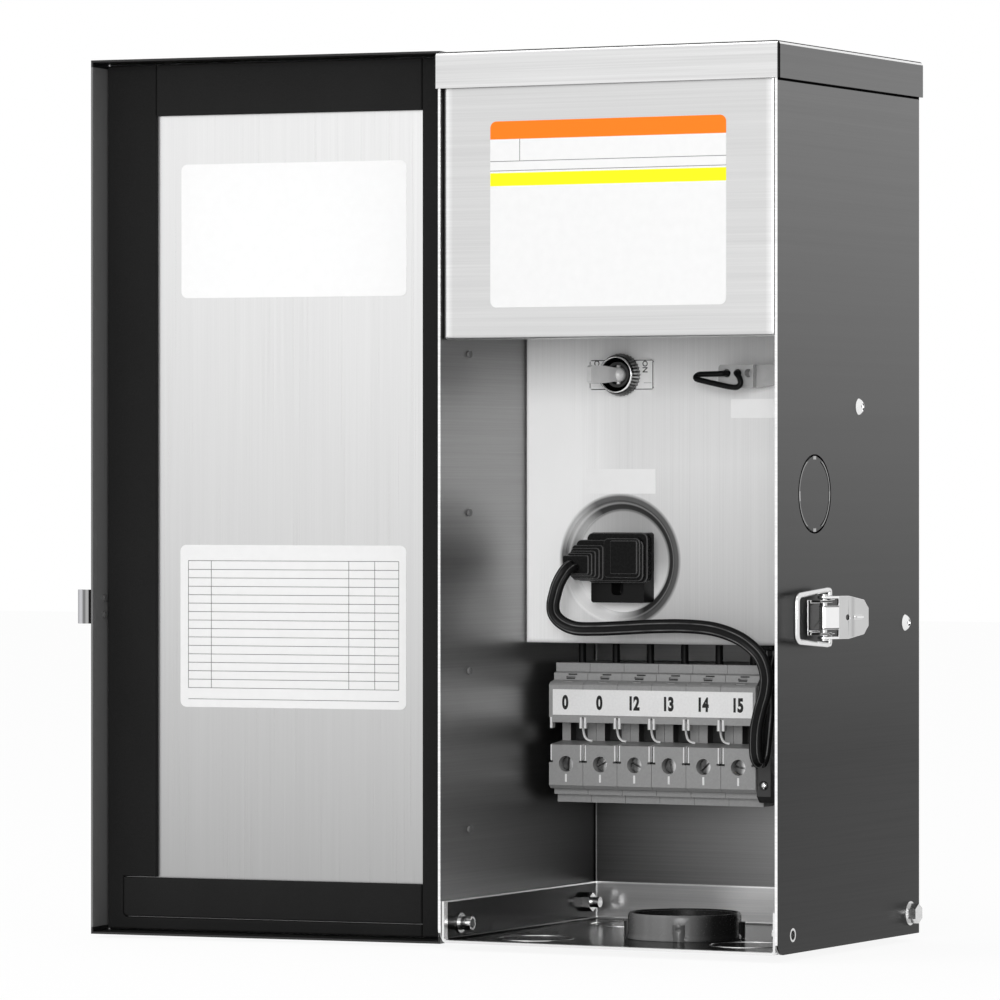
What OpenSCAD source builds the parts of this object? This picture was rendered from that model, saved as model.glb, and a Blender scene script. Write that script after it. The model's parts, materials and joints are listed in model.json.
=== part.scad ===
// A low voltage landscape lighting transformer in a wall cabinet of folded stainless sheet.
// The door stands open on its side hinge. Behind it are a fascia, an inner panel with the
// switch and the timer outlet, a row of output terminals on a rail, and a floor tray with a
// cable bushing. The toroidal transformer sits behind the inner panel.
// Lengths are millimetres. Pieces are drawn with y = 0 at the front edges of the side walls,
// z = 0 at their lower edges and x = 0 in the middle, then moved so that the origin is the
// middle of the face that lies on the wall.

/* [Cabinet] */
// Width over the side walls
cab_w = 170; // [166:1:200]
// Depth from the wall to the front edges
cab_d = 160; // [156:1:190]
// Height to the top of the roof
cab_h = 406; // [402:1:450]
// Thickness of the folded sheet
sheet = 1.2; // [1:0.1:1.4]
// Outer radius of the folds
fold_r = 2.2; // [1.8:0.1:2.6]
// Radius on the lower front corners of the side walls
sill_r = 6.5; // [3:0.5:8]

/* [Roof] */
// Height of the roof's turned-down lip
roof_lip = 16.7; // [12:0.5:22]

/* [Fascia] */
// Height of the fascia's lower edge
fascia_z = 275; // [270:1:300]
// Setback of the fascia behind the front edges
fascia_y = 2; // [1:0.5:6]
// Depth of the fascia's side and lower flanges
fascia_flange = 12; // [8:1:20]

/* [Inner panel] */
// Distance from the inner panel's face to the wall
panel_d = 75.5; // [70:0.5:76]
// Height of the shelf below the inner panel
shelf_z = 135; // [132:1:140]
// Depth of the inner panel's side flanges
panel_flange = 14; // [12:1:20]

/* [Door] */
// Gap between the closed door and the roof's lip
door_gap = 0.8; // [0.8:0.1:2]
// Thickness of the door's sheet
door_sheet = 1; // [0.8:0.1:1.2]
// How far the door's rim reaches back over the side walls
door_rim = 13; // [9:0.5:14]
// Angle from the closed door to where it stands
door_open = 173.6; // [90:0.1:180]
// Thickness of the foam gasket
foam_t = 3; // [2:0.5:5]

/* [Terminals] */
// Distance between terminal blocks
term_pitch = 17.8; // [17:0.1:18.5]
// Middle height of the mounting rail
rail_z = 92; // [88:1:94]
// Depth of a block from its front to the rail
block_d = 56.3; // [54:0.5:60]

/* [Cable bushing] */
// Outer diameter of the bushing's collar
bushing_d = 52; // [46:1:58]
// Height of the collar above the cabinet's underside
bushing_h = 13; // [9:0.5:16]

/* [Transformer] */
// Outer diameter of the wound core
toroid_d = 115; // [100:1:120]
// Height of the wound core along its axis
toroid_h = 50; // [40:1:52]

/* [Hidden] */
$fn = 64;

// One overrun for every cut
over = 1;
// Gap between panels and pieces that slide together
seat = 0.2;
steel = "silver";
plastic = "gray";
black = "#202020";

// Cabinet, worked out
half_w = cab_w / 2;
panel_y = cab_d - panel_d;
inner_w = half_w - sheet;
back_y = cab_d - sheet;
wall_h = cab_h - fold_r;
rivet_r = 1.6;
rivet_head_r = 3.2;
rivet_head_h = 1.1;

// Wall holes near the top of the back
wall_hole_r = 3.5;
wall_hole_x = 50;
wall_hole_z = cab_h - 31;

// Side knock-out and floor knock-outs
knock_r = 17.3;
knock_kerf = 0.5;
knock_tab = 5;
knock_y = 40.3;
knock_z = 204.7;
floor_knocks = [[-0.59, 0.19], [0.62, 0.24], [-0.62, 0.81], [0.65, 0.81]];

// Floor tray and its fasteners
tray_h = 19;
tray_front = 1;
tray_w = inner_w - seat;
tray_back = back_y - seat;
nut_y = 16.8;
nut_z = 8.2;
nut_r = 3.1;
nut_bore_r = 2.1;
nut_flange_r = 4.6;
nut_flange_t = 0.8;
nut_len = 9;
bolt_in = 14.5;
bolt_y = cab_d - bolt_in;
bolt_z = 9.9;
bolt_r = 2.5;
bolt_flange_r = 5.6;
bolt_flange_t = 1.2;
bolt_hex_r = 4.6;
bolt_hex_h = 4.2;
bolt_nut_h = 4;

// Screws through the side walls into the inner panel's flanges
side_screw_in = 5;
side_screw_z = 244.4;
shelf_screw_in = 17.8;
shelf_screw_up = 9.9;
side_screws = [[panel_y + side_screw_in, side_screw_z],
    [cab_d - shelf_screw_in, shelf_z + shelf_screw_up]];
side_screw_r = 2;
side_head_r = 3.8;
side_head_h = 2.2;
side_screw_len = 8;

// Bushing
bushing_wall = 2.2;
bushing_x = 8.5;
bushing_y = 65;
bushing_flange = 3;
bushing_flange_t = 2;
bushing_bead = 0.7;
bushing_bead_h = 1.4;
bushing_boss_r = 3;
bushing_boss_h = 7.5;
bushing_dimple_r = 1.2;
bushing_turn = -70.5;

// Rail
rail_h = 7.5;
rail_w = 35;
rail_web = 27;
rail_t = 1;
rail_x0 = -half_w + 7;
rail_x1 = half_w - 32;
rail_front = back_y - rail_h;
rail_rivet_x = [-60, 24];

// Terminal block
term_x = -half_w + 17.5;
term_f = rail_front - block_d;
term_gap = 0.2;
term_w = term_pitch - term_gap;
foot_z = 59.8;
crown_z = 125.2;
foot_in = 9;
foot_face = 3.8;
band_in = 5.5;
chin_z = 66.5;
chin = 1.6;
brow_z = 87;
brow = 1.5;
niche_d = 14;
niche_z = 97.5;
label_top = 116.2;
label_cham = 1.1;
crown_in = 7.5;
crown_face = 4;
crown_band = 3.2;
crown_band_in = 5.2;
hook_d = 3.4;
hook_lip = 2.3;
hook_gap = 0.2;
screw_z = 78.1;
screw_hole_r = 3.7;
screw_head_r = 3.3;
screw_head_h = 2.6;
screw_recess = 3;
screw_slot = 1;
screw_slot_d = 1.4;
thread_r = 2;
run_gap = 0.05;
cage_w = 9;
cage_h = 8.4;
cage_t = 1.4;
cage_y = 9.6;
cage_len = 13;
cage_travel = 3;
cage_gap = 0.25;
bar_w = 5.6;
bar_t = 1.6;
bar_y = 13.2;
bar_top = 9.4;
port_w = 9;
port_y0 = 15.4;
port_y1 = 21.4;
lead_r = 1.8;
lead_port_r = 2.2;
lead_port_d = 8;
lead_y = 17.5;
notch_w = 1.6;
notch_h = 8.3;
notch_bar_w = 4;
notch_bar_h = 0.9;
notch_d = 2.5;
window_w = 8.9;
window_d = 6;
tab_w = 1.35;
tab_z0 = 94.8;
tab_z1 = 99.6;
tab_notch = 0.55;
crown_slot_w = 4.8;
crown_slot_h = 0.9;
crown_slot_d = 1.5;
crown_slot_z = 118.2;
tick_w = 1;
tick_h = 4;
tick_d = 0.3;
tick_z = 69.5;
strip_t = 0.6;
strip_z0 = 101;
strip_z1 = 113;
strip_in = 2.2;

// End stop at the right of the blocks
stop_w = 7;
stop_z0 = 62;
stop_z1 = 119;
stop_in = 1.2;
stop_cham = 3;
stop_screw_z = [70, 112];
stop_screw_r = 2.1;
stop_shank_r = 1.4;
stop_shank_len = 9;
stop_sink = 0.6;

// Outlet and its dish
out_x = -32;
out_z = 170.4;
dish_r = 29.5;
dish_floor_r = 23.8;
dish_depth = 3.8;
dish_x = -34.2;
dish_z = 173.4;
out_w = 27.2;
out_h = 32.5;
out_proud = 7;
out_body_w = 23;
out_body_h = 28;
out_body_d = 18;
blade_x = 6.35;
blade_t = 1.5;
blade_w = 6.3;
blade_len = 15.5;
blade_z = 175.2;
blade_gap = 0.15;
ground_w = 6.2;
ground_z = 160.7;
ground_d = 9;

// Plug
plug_x0 = -43.5;
plug_x1 = -16.8;
plug_z0 = 164.5;
plug_z1 = 186;
plug_d = 9.5;
plug_r = 2.5;
pad_x0 = -30.2;
pad_x1 = -17.9;
pad_z0 = 168;
pad_z1 = 183;
pad_t = 2.2;
rib_n = 5;
rib_step = 1.9;
rib_t = 1.2;
rib_shrink = 1.7;
tail_x0 = -54.2;
tail_w = 12;
tail_z0 = 164.7;
tail_z1 = 176.8;
tail_t = 7;
tail_proud = 4;
out_front = panel_y - out_proud;
plug_back = out_front - seat;
plug_front = plug_back - plug_d;

// Cord from the shelf to the plug, and the relief that holds it
cord_r = 3.2;
relief_r = 5.5;
relief_neck_r = 4.4;
relief_t = 2.5;
relief_top = 7;
cord_points = [[34, 19.5, 132.3], [34, 19.5, 129], [34, 16, 124.5], [33.8, 10.5, 120],
    [33.4, 6, 114], [33, 4.1, 106], [32.8, 3.5, 97], [33.6, 2.9, 89], [36.6, 1.5, 83.4],
    [40.6, -0.9, 82.6], [44.2, -3.3, 87], [45.8, -5.1, 96], [46.4, -6.9, 107],
    [45.2, -8.7, 119], [40.6, -10.5, 130], [32, -11.9, 138], [20, -12.9, 142.4],
    [6, -13.9, 143.6], [-9, -15.1, 142.9], [-24, -16.7, 141.4], [-37, -18.5, 139.9],
    [-47.5, -20.7, 139.9], [-54.6, -23.1, 143.4], [-57.2, -25.3, 150],
    [-55.6, -27.1, 157.4], [-52, -27.9, 163.6], [-49, -26.9, 168], [-47.5, -24.5, 170.2],
    [-47.5, -20.7, 170.4]];
cord_route = [for (p = cord_points) [p[0], panel_y + p[1], p[2]]];

// Toggle switch
tog_x = -33;
tog_z = 259.8;
tog_plate_w = 33.1;
tog_plate_h = 14.1;
tog_plate_t = 0.8;
tog_plate_r = 2;
tog_bush_r = 5.9;
tog_bore_r = 4.6;
tog_bush_len = 5;
tog_ring_r = 9.9;
tog_ring_front_r = 8.5;
tog_ring_len = 6.7;
tog_cup_r = 7.8;
tog_cup_d = 4;
tog_teeth = 36;
tog_tooth = 0.5;
tog_rim_t = 0.8;
tog_box_w = 16;
tog_box_h = 14;
tog_box_d = 20;
tog_lug_w = 1;
tog_lug_h = 5;
tog_lug_d = 8;
tog_ball_r = 3.6;
tog_pivot_r = 0.9;
tog_len = 20.5;
tog_bat_w = 2.6;
tog_bat_h = 8.4;
tog_bat_root = 6.2;
tog_bat_start = 2.5;
tog_bat_neck = 11;
tog_bat_nose = 1;
tog_tilt = 15.5;

// Splice connector and its jumper
spl_x0 = 21.5;
spl_x1 = 39;
spl_x2 = 55;
spl_z0 = 253.2;
spl_z1 = 263.8;
spl_d = 10.6;
spl_r = 1.5;
spl_ports = [25.7, 31.2, 36.5];
spl_port_z = 259.9;
spl_port_r = 1.9;
spl_port_d = 5;
spl_tail_h = 8.6;
spl_tail_d = 7;
wire_r = 1.3;
jumper_points = [[25.7, -8.5, 259.7], [25.7, -11.5, 259.7], [24.8, -13.5, 259.7],
    [22.6, -14.1, 259.6], [18, -14.1, 259.5], [13.7, -14.1, 259.4], [12.5, -14.5, 258.9],
    [12.1, -15.2, 258.2], [12.5, -15.8, 257.5], [13.7, -16.2, 257], [18, -16.2, 256],
    [24, -16, 254.7], [29.4, -15.7, 253.6], [33, -15.5, 253.4], [34.7, -15.3, 254.9],
    [34.4, -15.1, 257.1], [33.1, -14.7, 259], [31.7, -13.3, 259.9], [31.2, -11.5, 259.9],
    [31.2, -8.5, 259.9]];
jumper_route = [for (p = jumper_points) [p[0], panel_y + p[1], p[2]]];

// Wound core behind the inner panel
tor_below_roof = 81;
tor_z = cab_h - tor_below_roof;
tor_bore_r = 18;
tor_round = 11;
tor_pad_t = 1.5;
tor_pad_r = 52;
tor_washer_t = 1.5;
tor_washer_r = 48;
tor_dish_r = 14;
tor_dish_d = 9;
tor_bolt_r = 4;
tor_head_r = 7.4;
tor_head_h = 5.3;
tor_nut_h = 6.5;
tor_pad0 = panel_y + sheet;
tor_y0 = tor_pad0 + tor_pad_t;
tor_y1 = tor_y0 + toroid_h;
slot_y0 = term_f + 9.5;
slot_y1 = term_f + 27;
slot_x0 = term_x - 6;
slot_x1 = term_x + 5 * term_pitch + 5;
lead_bottom = crown_z - lead_port_d + seat;
lead_spread = 9;
lead_steps_shares = [0, 0.1, 0.2, 0.3, 0.4, 0.5, 0.6, 0.7, 0.8, 1];
lead_root = 1.5;

// Door, drawn closed
door_half = half_w + sheet + door_gap + door_sheet;
door_z0 = -door_gap - door_sheet;
door_z1 = cab_h + door_gap + door_sheet;
foam_y = -sheet - 0.4;
door_in = foam_y - foam_t;
door_out = door_in - door_sheet;
door_fold = 1.8;
foam_edge = door_fold - door_sheet;
foam_half = door_half - door_sheet - foam_edge;
foam_free_w = 24.8;
foam_hinge_w = 13.2;
foam_free_x = foam_half - foam_free_w;
foam_hinge_x = foam_hinge_w - foam_half;
foam_top = 24;
foam_bottom = 18.3;
foam_bottom_z = 5.9;
foam_joint = 0.4;
foam_step_w = 8.2;
foam_step = foam_half - foam_step_w;

// Hinge up the left side
hinge_x = -door_half - 2;
hinge_y = door_rim + 1.5;
hinge_r = 2.2;
hinge_pin_r = 1.2;
hinge_t = 1;
hinge_z0 = 14;
hinge_top_in = 28;
hinge_len = cab_h - hinge_top_in - hinge_z0;
hinge_knuckles = 9;
hinge_gap = 0.3;
hinge_leaf = 34;
hinge_leaf_y = hinge_y + 4.2;
hinge_rivets = 5;
hinge_rivet_y = 28;
hinge_rivet_in = 4.5;
hinge_door_y0 = -3;
hinge_door_y1 = 11.9;

// Latch on the right side
keep_z = 151.5;
keep_w = 16;
keep_t = 1.2;
keep_y0 = -3;
keep_y1 = 7.6;
keep_out = 10;
keep_lip = 5.1;
latch_z = 149.3;
latch_t = 1.2;
base_y0 = 30.5;
base_y1 = 60;
base_w = 15.8;
ear_y0 = 33;
ear_y1 = 43;
ear_h = 8.6;
pin_x = half_w + 5.6;
pin_y = 38;
pin_r = 1.4;
pin_proud = 0.7;
lever_lift = 17;
hub_r = 3.9;
lever_in_w = 10.6;
lever_w = 19.4;
lever_len = 26;
lever_wide = 5.6;
lever_taper = 12.5;
lever_tip_w = 15.6;
lever_nose_w = 8.4;
lever_nose = 3;
lever_hole_r = 1.3;
lever_hole_y = 11.9;
lever_rib_w = 1.6;
lever_rib_h = 0.6;
lever_rib_y0 = 16;
lever_rib_y1 = 21.2;
cheek_t = 1.2;
cheek_in = 8.5;
bail_x = half_w + 5;
bail_y = 45;
bail_r = 1.15;
bail_bar_y = 9.8;
bail_half_front = 10.4;
bail_half_back = 12.3;
bail_fold_r = 3.4;
spring_wire = 0.8;
spring_r = 2;
spring_curls = 8;
spring_pitch = 1.28;
spring_leg = 7.5;
spring_leg_drop = 1.8;
spring_tail = 3.5;
spring_end = lever_in_w / 2 + spring_wire / 2 + hinge_gap;
rivet_latch_y = [47.5, 55];

// Two-dimensional corner cutter: what lies outside the arc of radius r at the origin
module corner_cut(r) {
    if (r > 0)
        difference() {
            translate([-over, -over]) square(r + over);
            translate([r, r]) circle(r);
        }
}

// Rectangle with its own radius on each corner, counted from the lower left
module soft_rect(w, h, r0, r1, r2, r3) {
    difference() {
        square([w, h]);
        corner_cut(r0);
        translate([w, 0]) mirror([1, 0]) corner_cut(r1);
        translate([w, h]) rotate(180) corner_cut(r2);
        translate([0, h]) mirror([0, 1]) corner_cut(r3);
    }
}

// Profile in x and z carried along y from y0 to y1
module along_y(y0, y1) {
    translate([0, y1, 0]) rotate([90, 0, 0]) linear_extrude(y1 - y0) children();
}

// Profile in y and z carried along x from x0 to x1
module along_x(x0, x1) {
    translate([x0, 0, 0]) rotate([90, 0, 90]) linear_extrude(x1 - x0) children();
}

// Round bar along x from x0 to x1
module rod_x(x0, x1, r) {
    translate([x0, 0, 0]) rotate([0, 90, 0]) cylinder(h = x1 - x0, r = r);
}

// Round bar along y from y0 to y1
module rod_y(y0, y1, r) {
    translate([0, y0, 0]) rotate([-90, 0, 0]) cylinder(h = y1 - y0, r = r);
}

// Dome of a rivet or screw head that stands up from z = 0
module dome(r, h) {
    ball = (r * r + h * h) / (2 * h);
    intersection() {
        translate([0, 0, h - ball]) sphere(ball);
        cylinder(h = h, r = r);
    }
}

// The same dome standing out along +x or -x
module dome_x(r, h, side) {
    rotate([0, 90 * side, 0]) dome(r, h);
}

// Box from one corner to the opposite one
module box(a, b) {
    translate(a) cube(b - a);
}

// Sheared ring of a knock-out in the upper half of a sheet of thickness t, with two tabs
module knock_cut(t) {
    difference() {
        translate([0, 0, t / 2]) cylinder(h = t / 2 + over, r = knock_r);
        cylinder(h = t + 2 * over, r = knock_r - knock_kerf);
        translate([-knock_tab / 2, -knock_r - over, 0])
            cube([knock_tab, 2 * (knock_r + over), t + 2 * over]);
    }
}

// Tube swept along points, with flat ends
function unit(v) = v / norm(v);
function tangent(p, i) =
    i == 0 ? unit(p[1] - p[0])
    : i == len(p) - 1 ? unit(p[i] - p[i - 1])
    : unit(unit(p[i + 1] - p[i]) + unit(p[i] - p[i - 1]));
function carried(p, i, n) =
    i == len(p) ? []
    : let (t = tangent(p, i), m = unit(n - t * (n * t))) concat([m], carried(p, i + 1, m));
function tube_points(p, r, sides, start) =
    let (ns = carried(p, 0, start))
    [for (i = [0:len(p) - 1], k = [0:sides - 1])
        p[i] + r * cos(360 * k / sides) * ns[i]
        + r * sin(360 * k / sides) * cross(tangent(p, i), ns[i])];
function tube_faces(rings, sides) = concat(
    [[for (k = [0:sides - 1]) k]],
    [for (i = [0:rings - 2], k = [0:sides - 1])
        let (a = i * sides + k, b = i * sides + (k + 1) % sides)
        each [[a, a + sides, b + sides], [a, b + sides, b]]],
    [[for (k = [0:sides - 1]) rings * sides - 1 - k]]);
module tube(p, r, sides, start) {
    polyhedron(points = tube_points(p, r, sides, start), faces = tube_faces(len(p), sides),
        convexity = 6);
}
function route_length(p) = len(p) < 2 ? 0
    : norm(p[1] - p[0]) + route_length([for (i = [1:len(p) - 1]) p[i]]);

// Places: the cabinet against the wall, and the door turned from closed to open
module in_cabinet() {
    translate([0, -cab_d, -cab_h / 2]) children();
}
module in_door() {
    in_cabinet() translate([hinge_x, hinge_y, 0]) rotate([0, 0, -door_open])
        translate([-hinge_x, -hinge_y, 0]) children();
}
module in_lever() {
    in_cabinet() translate([pin_x, pin_y, latch_z]) rotate([0, 0, -lever_lift]) children();
}

module cabinet_shell() {
    color(steel) in_cabinet() difference() {
        linear_extrude(wall_h) difference() {
            translate([-half_w, 0]) soft_rect(cab_w, cab_d, 0, 0, fold_r, fold_r);
            translate([-inner_w, -over])
                soft_rect(2 * inner_w, back_y + over, 0, 0, fold_r - sheet, fold_r - sheet);
        }
        along_x(-half_w - over, half_w + over) corner_cut(sill_r);
        for (x = [-wall_hole_x, wall_hole_x])
            translate([x, 0, wall_hole_z]) rod_y(back_y - over, cab_d + over, wall_hole_r);
        for (x = rail_rivet_x)
            translate([x, 0, rail_z]) rod_y(back_y - over, cab_d + over, rivet_r);
        for (s = side_screws)
            translate([0, s[0], s[1]]) rod_x(-half_w - over, half_w + over, side_screw_r);
        translate([0, nut_y, nut_z]) rod_x(-half_w - over, half_w + over, nut_r);
        translate([0, bolt_y, bolt_z]) rod_x(-half_w - over, half_w + over, bolt_r);
        translate([inner_w, knock_y, knock_z]) rotate([0, 90, 0]) rotate(90) knock_cut(sheet);
        for (y = rivet_latch_y)
            translate([0, y, latch_z]) rod_x(inner_w - over, half_w + over, rivet_r);
        for (i = [0:hinge_rivets - 1])
            translate([0, hinge_rivet_y, hinge_rivet_z(i)])
                rod_x(-half_w - over, -inner_w + over, rivet_r);
    }
}
function hinge_rivet_z(i) = hinge_z0 + hinge_len * (i + 0.5) / hinge_rivets;

module floor_tray() {
    color(steel) in_cabinet() difference() {
        intersection() {
            along_y(tray_front, tray_back) translate([-tray_w, 0])
                soft_rect(2 * tray_w, tray_h, fold_r, fold_r, 0, 0);
            along_x(-tray_w, tray_w) translate([tray_front, 0])
                soft_rect(tray_back - tray_front, tray_h, 0, fold_r, 0, 0);
        }
        intersection() {
            along_y(tray_front - over, tray_back - sheet) translate([-tray_w + sheet, sheet])
                soft_rect(2 * (tray_w - sheet), tray_h, fold_r - sheet, fold_r - sheet, 0, 0);
            along_x(-tray_w, tray_w) translate([tray_front - over, sheet])
                soft_rect(tray_back - sheet - tray_front + over, tray_h,
                    0, fold_r - sheet, 0, 0);
        }
        translate([bushing_x, bushing_y, -over])
            cylinder(h = sheet + 2 * over, r = bushing_d / 2 + seat);
        for (s = floor_knocks)
            translate([s[0] * half_w, s[1] * cab_d, 0]) knock_cut(sheet);
        translate([0, nut_y, nut_z]) rod_x(-tray_w - over, tray_w + over, nut_r);
        translate([0, bolt_y, bolt_z]) rod_x(-tray_w - over, tray_w + over, bolt_r);
    }
}

module roof_cap() {
    color(steel) in_cabinet() difference() {
        intersection() {
            along_y(-sheet, cab_d) translate([-half_w - sheet, cab_h - roof_lip])
                soft_rect(cab_w + 2 * sheet, roof_lip, 0, 0, fold_r, fold_r);
            along_x(-half_w - sheet, half_w + sheet) translate([-sheet, cab_h - roof_lip])
                soft_rect(cab_d + sheet, roof_lip, 0, 0, 0, fold_r);
        }
        intersection() {
            along_y(0, cab_d + over) translate([-half_w, cab_h - roof_lip - over])
                soft_rect(cab_w, roof_lip - sheet + over, 0, 0, fold_r - sheet, fold_r - sheet);
            along_x(-half_w, half_w) translate([0, cab_h - roof_lip - over])
                soft_rect(cab_d + over, roof_lip - sheet + over, 0, 0, 0, fold_r - sheet);
        }
    }
}

module fascia_panel() {
    top = wall_h - seat;
    w = inner_w - seat;
    color(steel) in_cabinet() difference() {
        intersection() {
            translate([-w, fascia_y, fascia_z]) linear_extrude(top - fascia_z)
                soft_rect(2 * w, fascia_flange, fold_r, fold_r, 0, 0);
            along_x(-w, w) translate([fascia_y, fascia_z])
                soft_rect(fascia_flange, top - fascia_z, fold_r, 0, 0, 0);
        }
        intersection() {
            translate([-w + sheet, fascia_y + sheet, fascia_z]) linear_extrude(top)
                soft_rect(2 * (w - sheet), fascia_flange, fold_r - sheet, fold_r - sheet, 0, 0);
            along_x(-w, w) translate([fascia_y + sheet, fascia_z + sheet])
                soft_rect(fascia_flange, top, fold_r - sheet, 0, 0, 0);
        }
    }
}

module chassis_panel() {
    w = inner_w - seat;
    back = back_y - seat;
    top = wall_h - roof_lip;
    color(steel) in_cabinet() union() {
        difference() {
            intersection() {
                translate([-w, panel_y, shelf_z]) linear_extrude(top - shelf_z)
                    soft_rect(2 * w, back - panel_y, fold_r, fold_r, 0, 0);
                along_x(-w, w) translate([panel_y, shelf_z])
                    soft_rect(back - panel_y, top - shelf_z, fold_r, 0, 0, 0);
            }
            intersection() {
                translate([-w + sheet, panel_y + sheet, shelf_z]) linear_extrude(top)
                    soft_rect(2 * (w - sheet), back, fold_r - sheet, fold_r - sheet, 0, 0);
                along_x(-w, w) translate([panel_y + sheet, shelf_z + sheet])
                    soft_rect(back, top, fold_r - sheet, 0, 0, 0);
            }
            box([-w - over, panel_y + panel_flange, shelf_z + tray_h],
                [w + over, back + over, top + over]);
            translate([dish_x, 0, dish_z])
                rod_y(panel_y - over, panel_y + sheet + over, dish_r - sheet);
            translate([tog_x, 0, tog_z])
                rod_y(panel_y - over, panel_y + sheet + over, tog_bush_r + seat);
            translate([0, 0, tor_z])
                rod_y(panel_y - over, panel_y + sheet + over, tor_bolt_r + seat);
            translate([cord_route[0][0], cord_route[0][1], shelf_z - over])
                cylinder(h = sheet + 2 * over, r = relief_neck_r + seat);
            box([slot_x0, slot_y0, shelf_z - over],
                [slot_x1, slot_y1, shelf_z + sheet + over]);
            for (s = side_screws)
                translate([0, s[0], s[1]]) rod_x(-w - over, w + over, side_screw_r);
        }
        translate([dish_x, panel_y, dish_z]) difference() {
            rotate([-90, 0, 0]) rotate_extrude() polygon(concat(
                dish_curve(0), [[0, dish_depth], [0, dish_depth + sheet]],
                [for (i = [8:-1:0]) dish_curve(sheet)[i]]));
            translate([out_x - dish_x - out_body_w / 2 - seat, 0, out_z - dish_z - out_body_h / 2 - seat])
                cube([out_body_w + 2 * seat, dish_depth + sheet + over, out_body_h + 2 * seat]);
        }
    }
}
// Pressed dish: a smooth step from the panel down to a flat floor
function dish_curve(t) = [for (i = [0:8]) let (s = i / 8)
    [dish_r - t / 2 - (dish_r - dish_floor_r) * s, t + dish_depth * (1 - cos(180 * s)) / 2]];

module conduit_bushing() {
    r = bushing_d / 2;
    ri = r - bushing_wall;
    low = -bushing_flange_t;
    color(black) in_cabinet() translate([bushing_x, bushing_y, 0]) difference() {
        union() {
            rotate_extrude() polygon([[ri, low], [r + bushing_flange, low],
                [r + bushing_flange, 0], [r, 0], [r, sheet + seat],
                [r + bushing_bead, sheet + seat], [r + bushing_bead, sheet + bushing_bead_h],
                [r, sheet + 2 * bushing_bead_h], [r, bushing_h - bushing_bead_h],
                [r - bushing_bead, bushing_h], [ri + bushing_bead, bushing_h],
                [ri, bushing_h - bushing_bead]]);
            for (i = [0:3])
                rotate(bushing_turn + 90 * i) translate([r - bushing_wall / 2, 0, sheet + seat])
                    cylinder(h = bushing_boss_h, r = bushing_boss_r);
        }
        translate([0, 0, low - over]) cylinder(h = bushing_h + bushing_flange_t + 2 * over, r = ri);
        rotate(bushing_turn) translate([r + bushing_boss_r - bushing_wall, 0, bushing_h / 2])
            rotate([0, 90, 0]) cylinder(h = over + bushing_wall, r = bushing_dimple_r);
    }
}

module tray_fasteners() {
    color(steel) in_cabinet() for (side = [-1, 1]) {
        translate([side * half_w, nut_y, nut_z]) rotate([0, -90 * side, 0]) difference() {
            union() {
                cylinder(h = nut_len, r = nut_r);
                translate([0, 0, 2 * sheet + seat]) cylinder(h = nut_flange_t, r = nut_flange_r);
            }
            translate([0, 0, -over]) cylinder(h = nut_len + 2 * over, r = nut_bore_r);
        }
        translate([side * half_w, bolt_y, bolt_z]) rotate([0, 90 * side, 0]) {
            cylinder(h = bolt_flange_t, r = bolt_flange_r);
            cylinder(h = bolt_flange_t + bolt_hex_h, r = bolt_hex_r, $fn = 6);
            translate([0, 0, -2 * sheet - seat - bolt_nut_h])
                cylinder(h = bolt_nut_h, r = bolt_hex_r, $fn = 6);
            translate([0, 0, -2 * sheet - 2 * bolt_nut_h])
                cylinder(h = 2 * (sheet + bolt_nut_h), r = bolt_r);
        }
    }
}

module chassis_screws() {
    color(steel) in_cabinet() for (side = [-1, 1], s = side_screws)
        translate([side * half_w, s[0], s[1]]) {
            difference() {
                dome_x(side_head_r, side_head_h, side);
                rotate([0, 90 * side, 0]) translate([0, 0, side_head_h / 2])
                    for (a = [0, 90])
                        rotate(a) translate([-side_head_r / 2, -side_screw_r / 4, 0])
                            cube([side_head_r, side_screw_r / 2, side_head_h]);
            }
            rotate([0, -90 * side, 0]) cylinder(h = side_screw_len, r = side_screw_r);
        }
}

module din_rail() {
    h = rail_w / 2;
    g = rail_web / 2;
    color(steel) in_cabinet() difference() {
        along_x(rail_x0, rail_x1) translate([0, rail_z]) polygon([
            [rail_front, h], [rail_front, g - rail_t], [back_y - rail_t, g - rail_t],
            [back_y - rail_t, -g + rail_t], [rail_front, -g + rail_t], [rail_front, -h],
            [rail_front + rail_t, -h], [rail_front + rail_t, -g], [back_y, -g], [back_y, g],
            [rail_front + rail_t, g], [rail_front + rail_t, h]]);
        for (x = rail_rivet_x)
            translate([x, 0, rail_z]) rod_y(back_y - rail_t - over, back_y + over, rivet_r);
    }
}

// Rivets of the cabinet: rail to back wall, hinge leaf and latch base to the side walls
module blind_rivets() {
    color(steel) in_cabinet() {
        for (x = rail_rivet_x) translate([x, 0, rail_z]) {
            rod_y(back_y - rail_t, cab_d, rivet_r);
            translate([0, back_y - rail_t, 0]) rotate([90, 0, 0]) dome(rivet_head_r, rivet_head_h);
        }
        for (i = [0:hinge_rivets - 1])
            translate([-half_w - hinge_t, hinge_rivet_y, hinge_rivet_z(i)]) {
                dome_x(rivet_head_r, rivet_head_h, -1);
                rod_x(0, hinge_t + sheet + rivet_head_h, rivet_r);
            }
        for (y = rivet_latch_y) translate([half_w + latch_t, y, latch_z]) {
            dome_x(rivet_head_r, rivet_head_h, 1);
            rod_x(-latch_t - sheet - rivet_head_h, 0, rivet_r);
        }
    }
}

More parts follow.
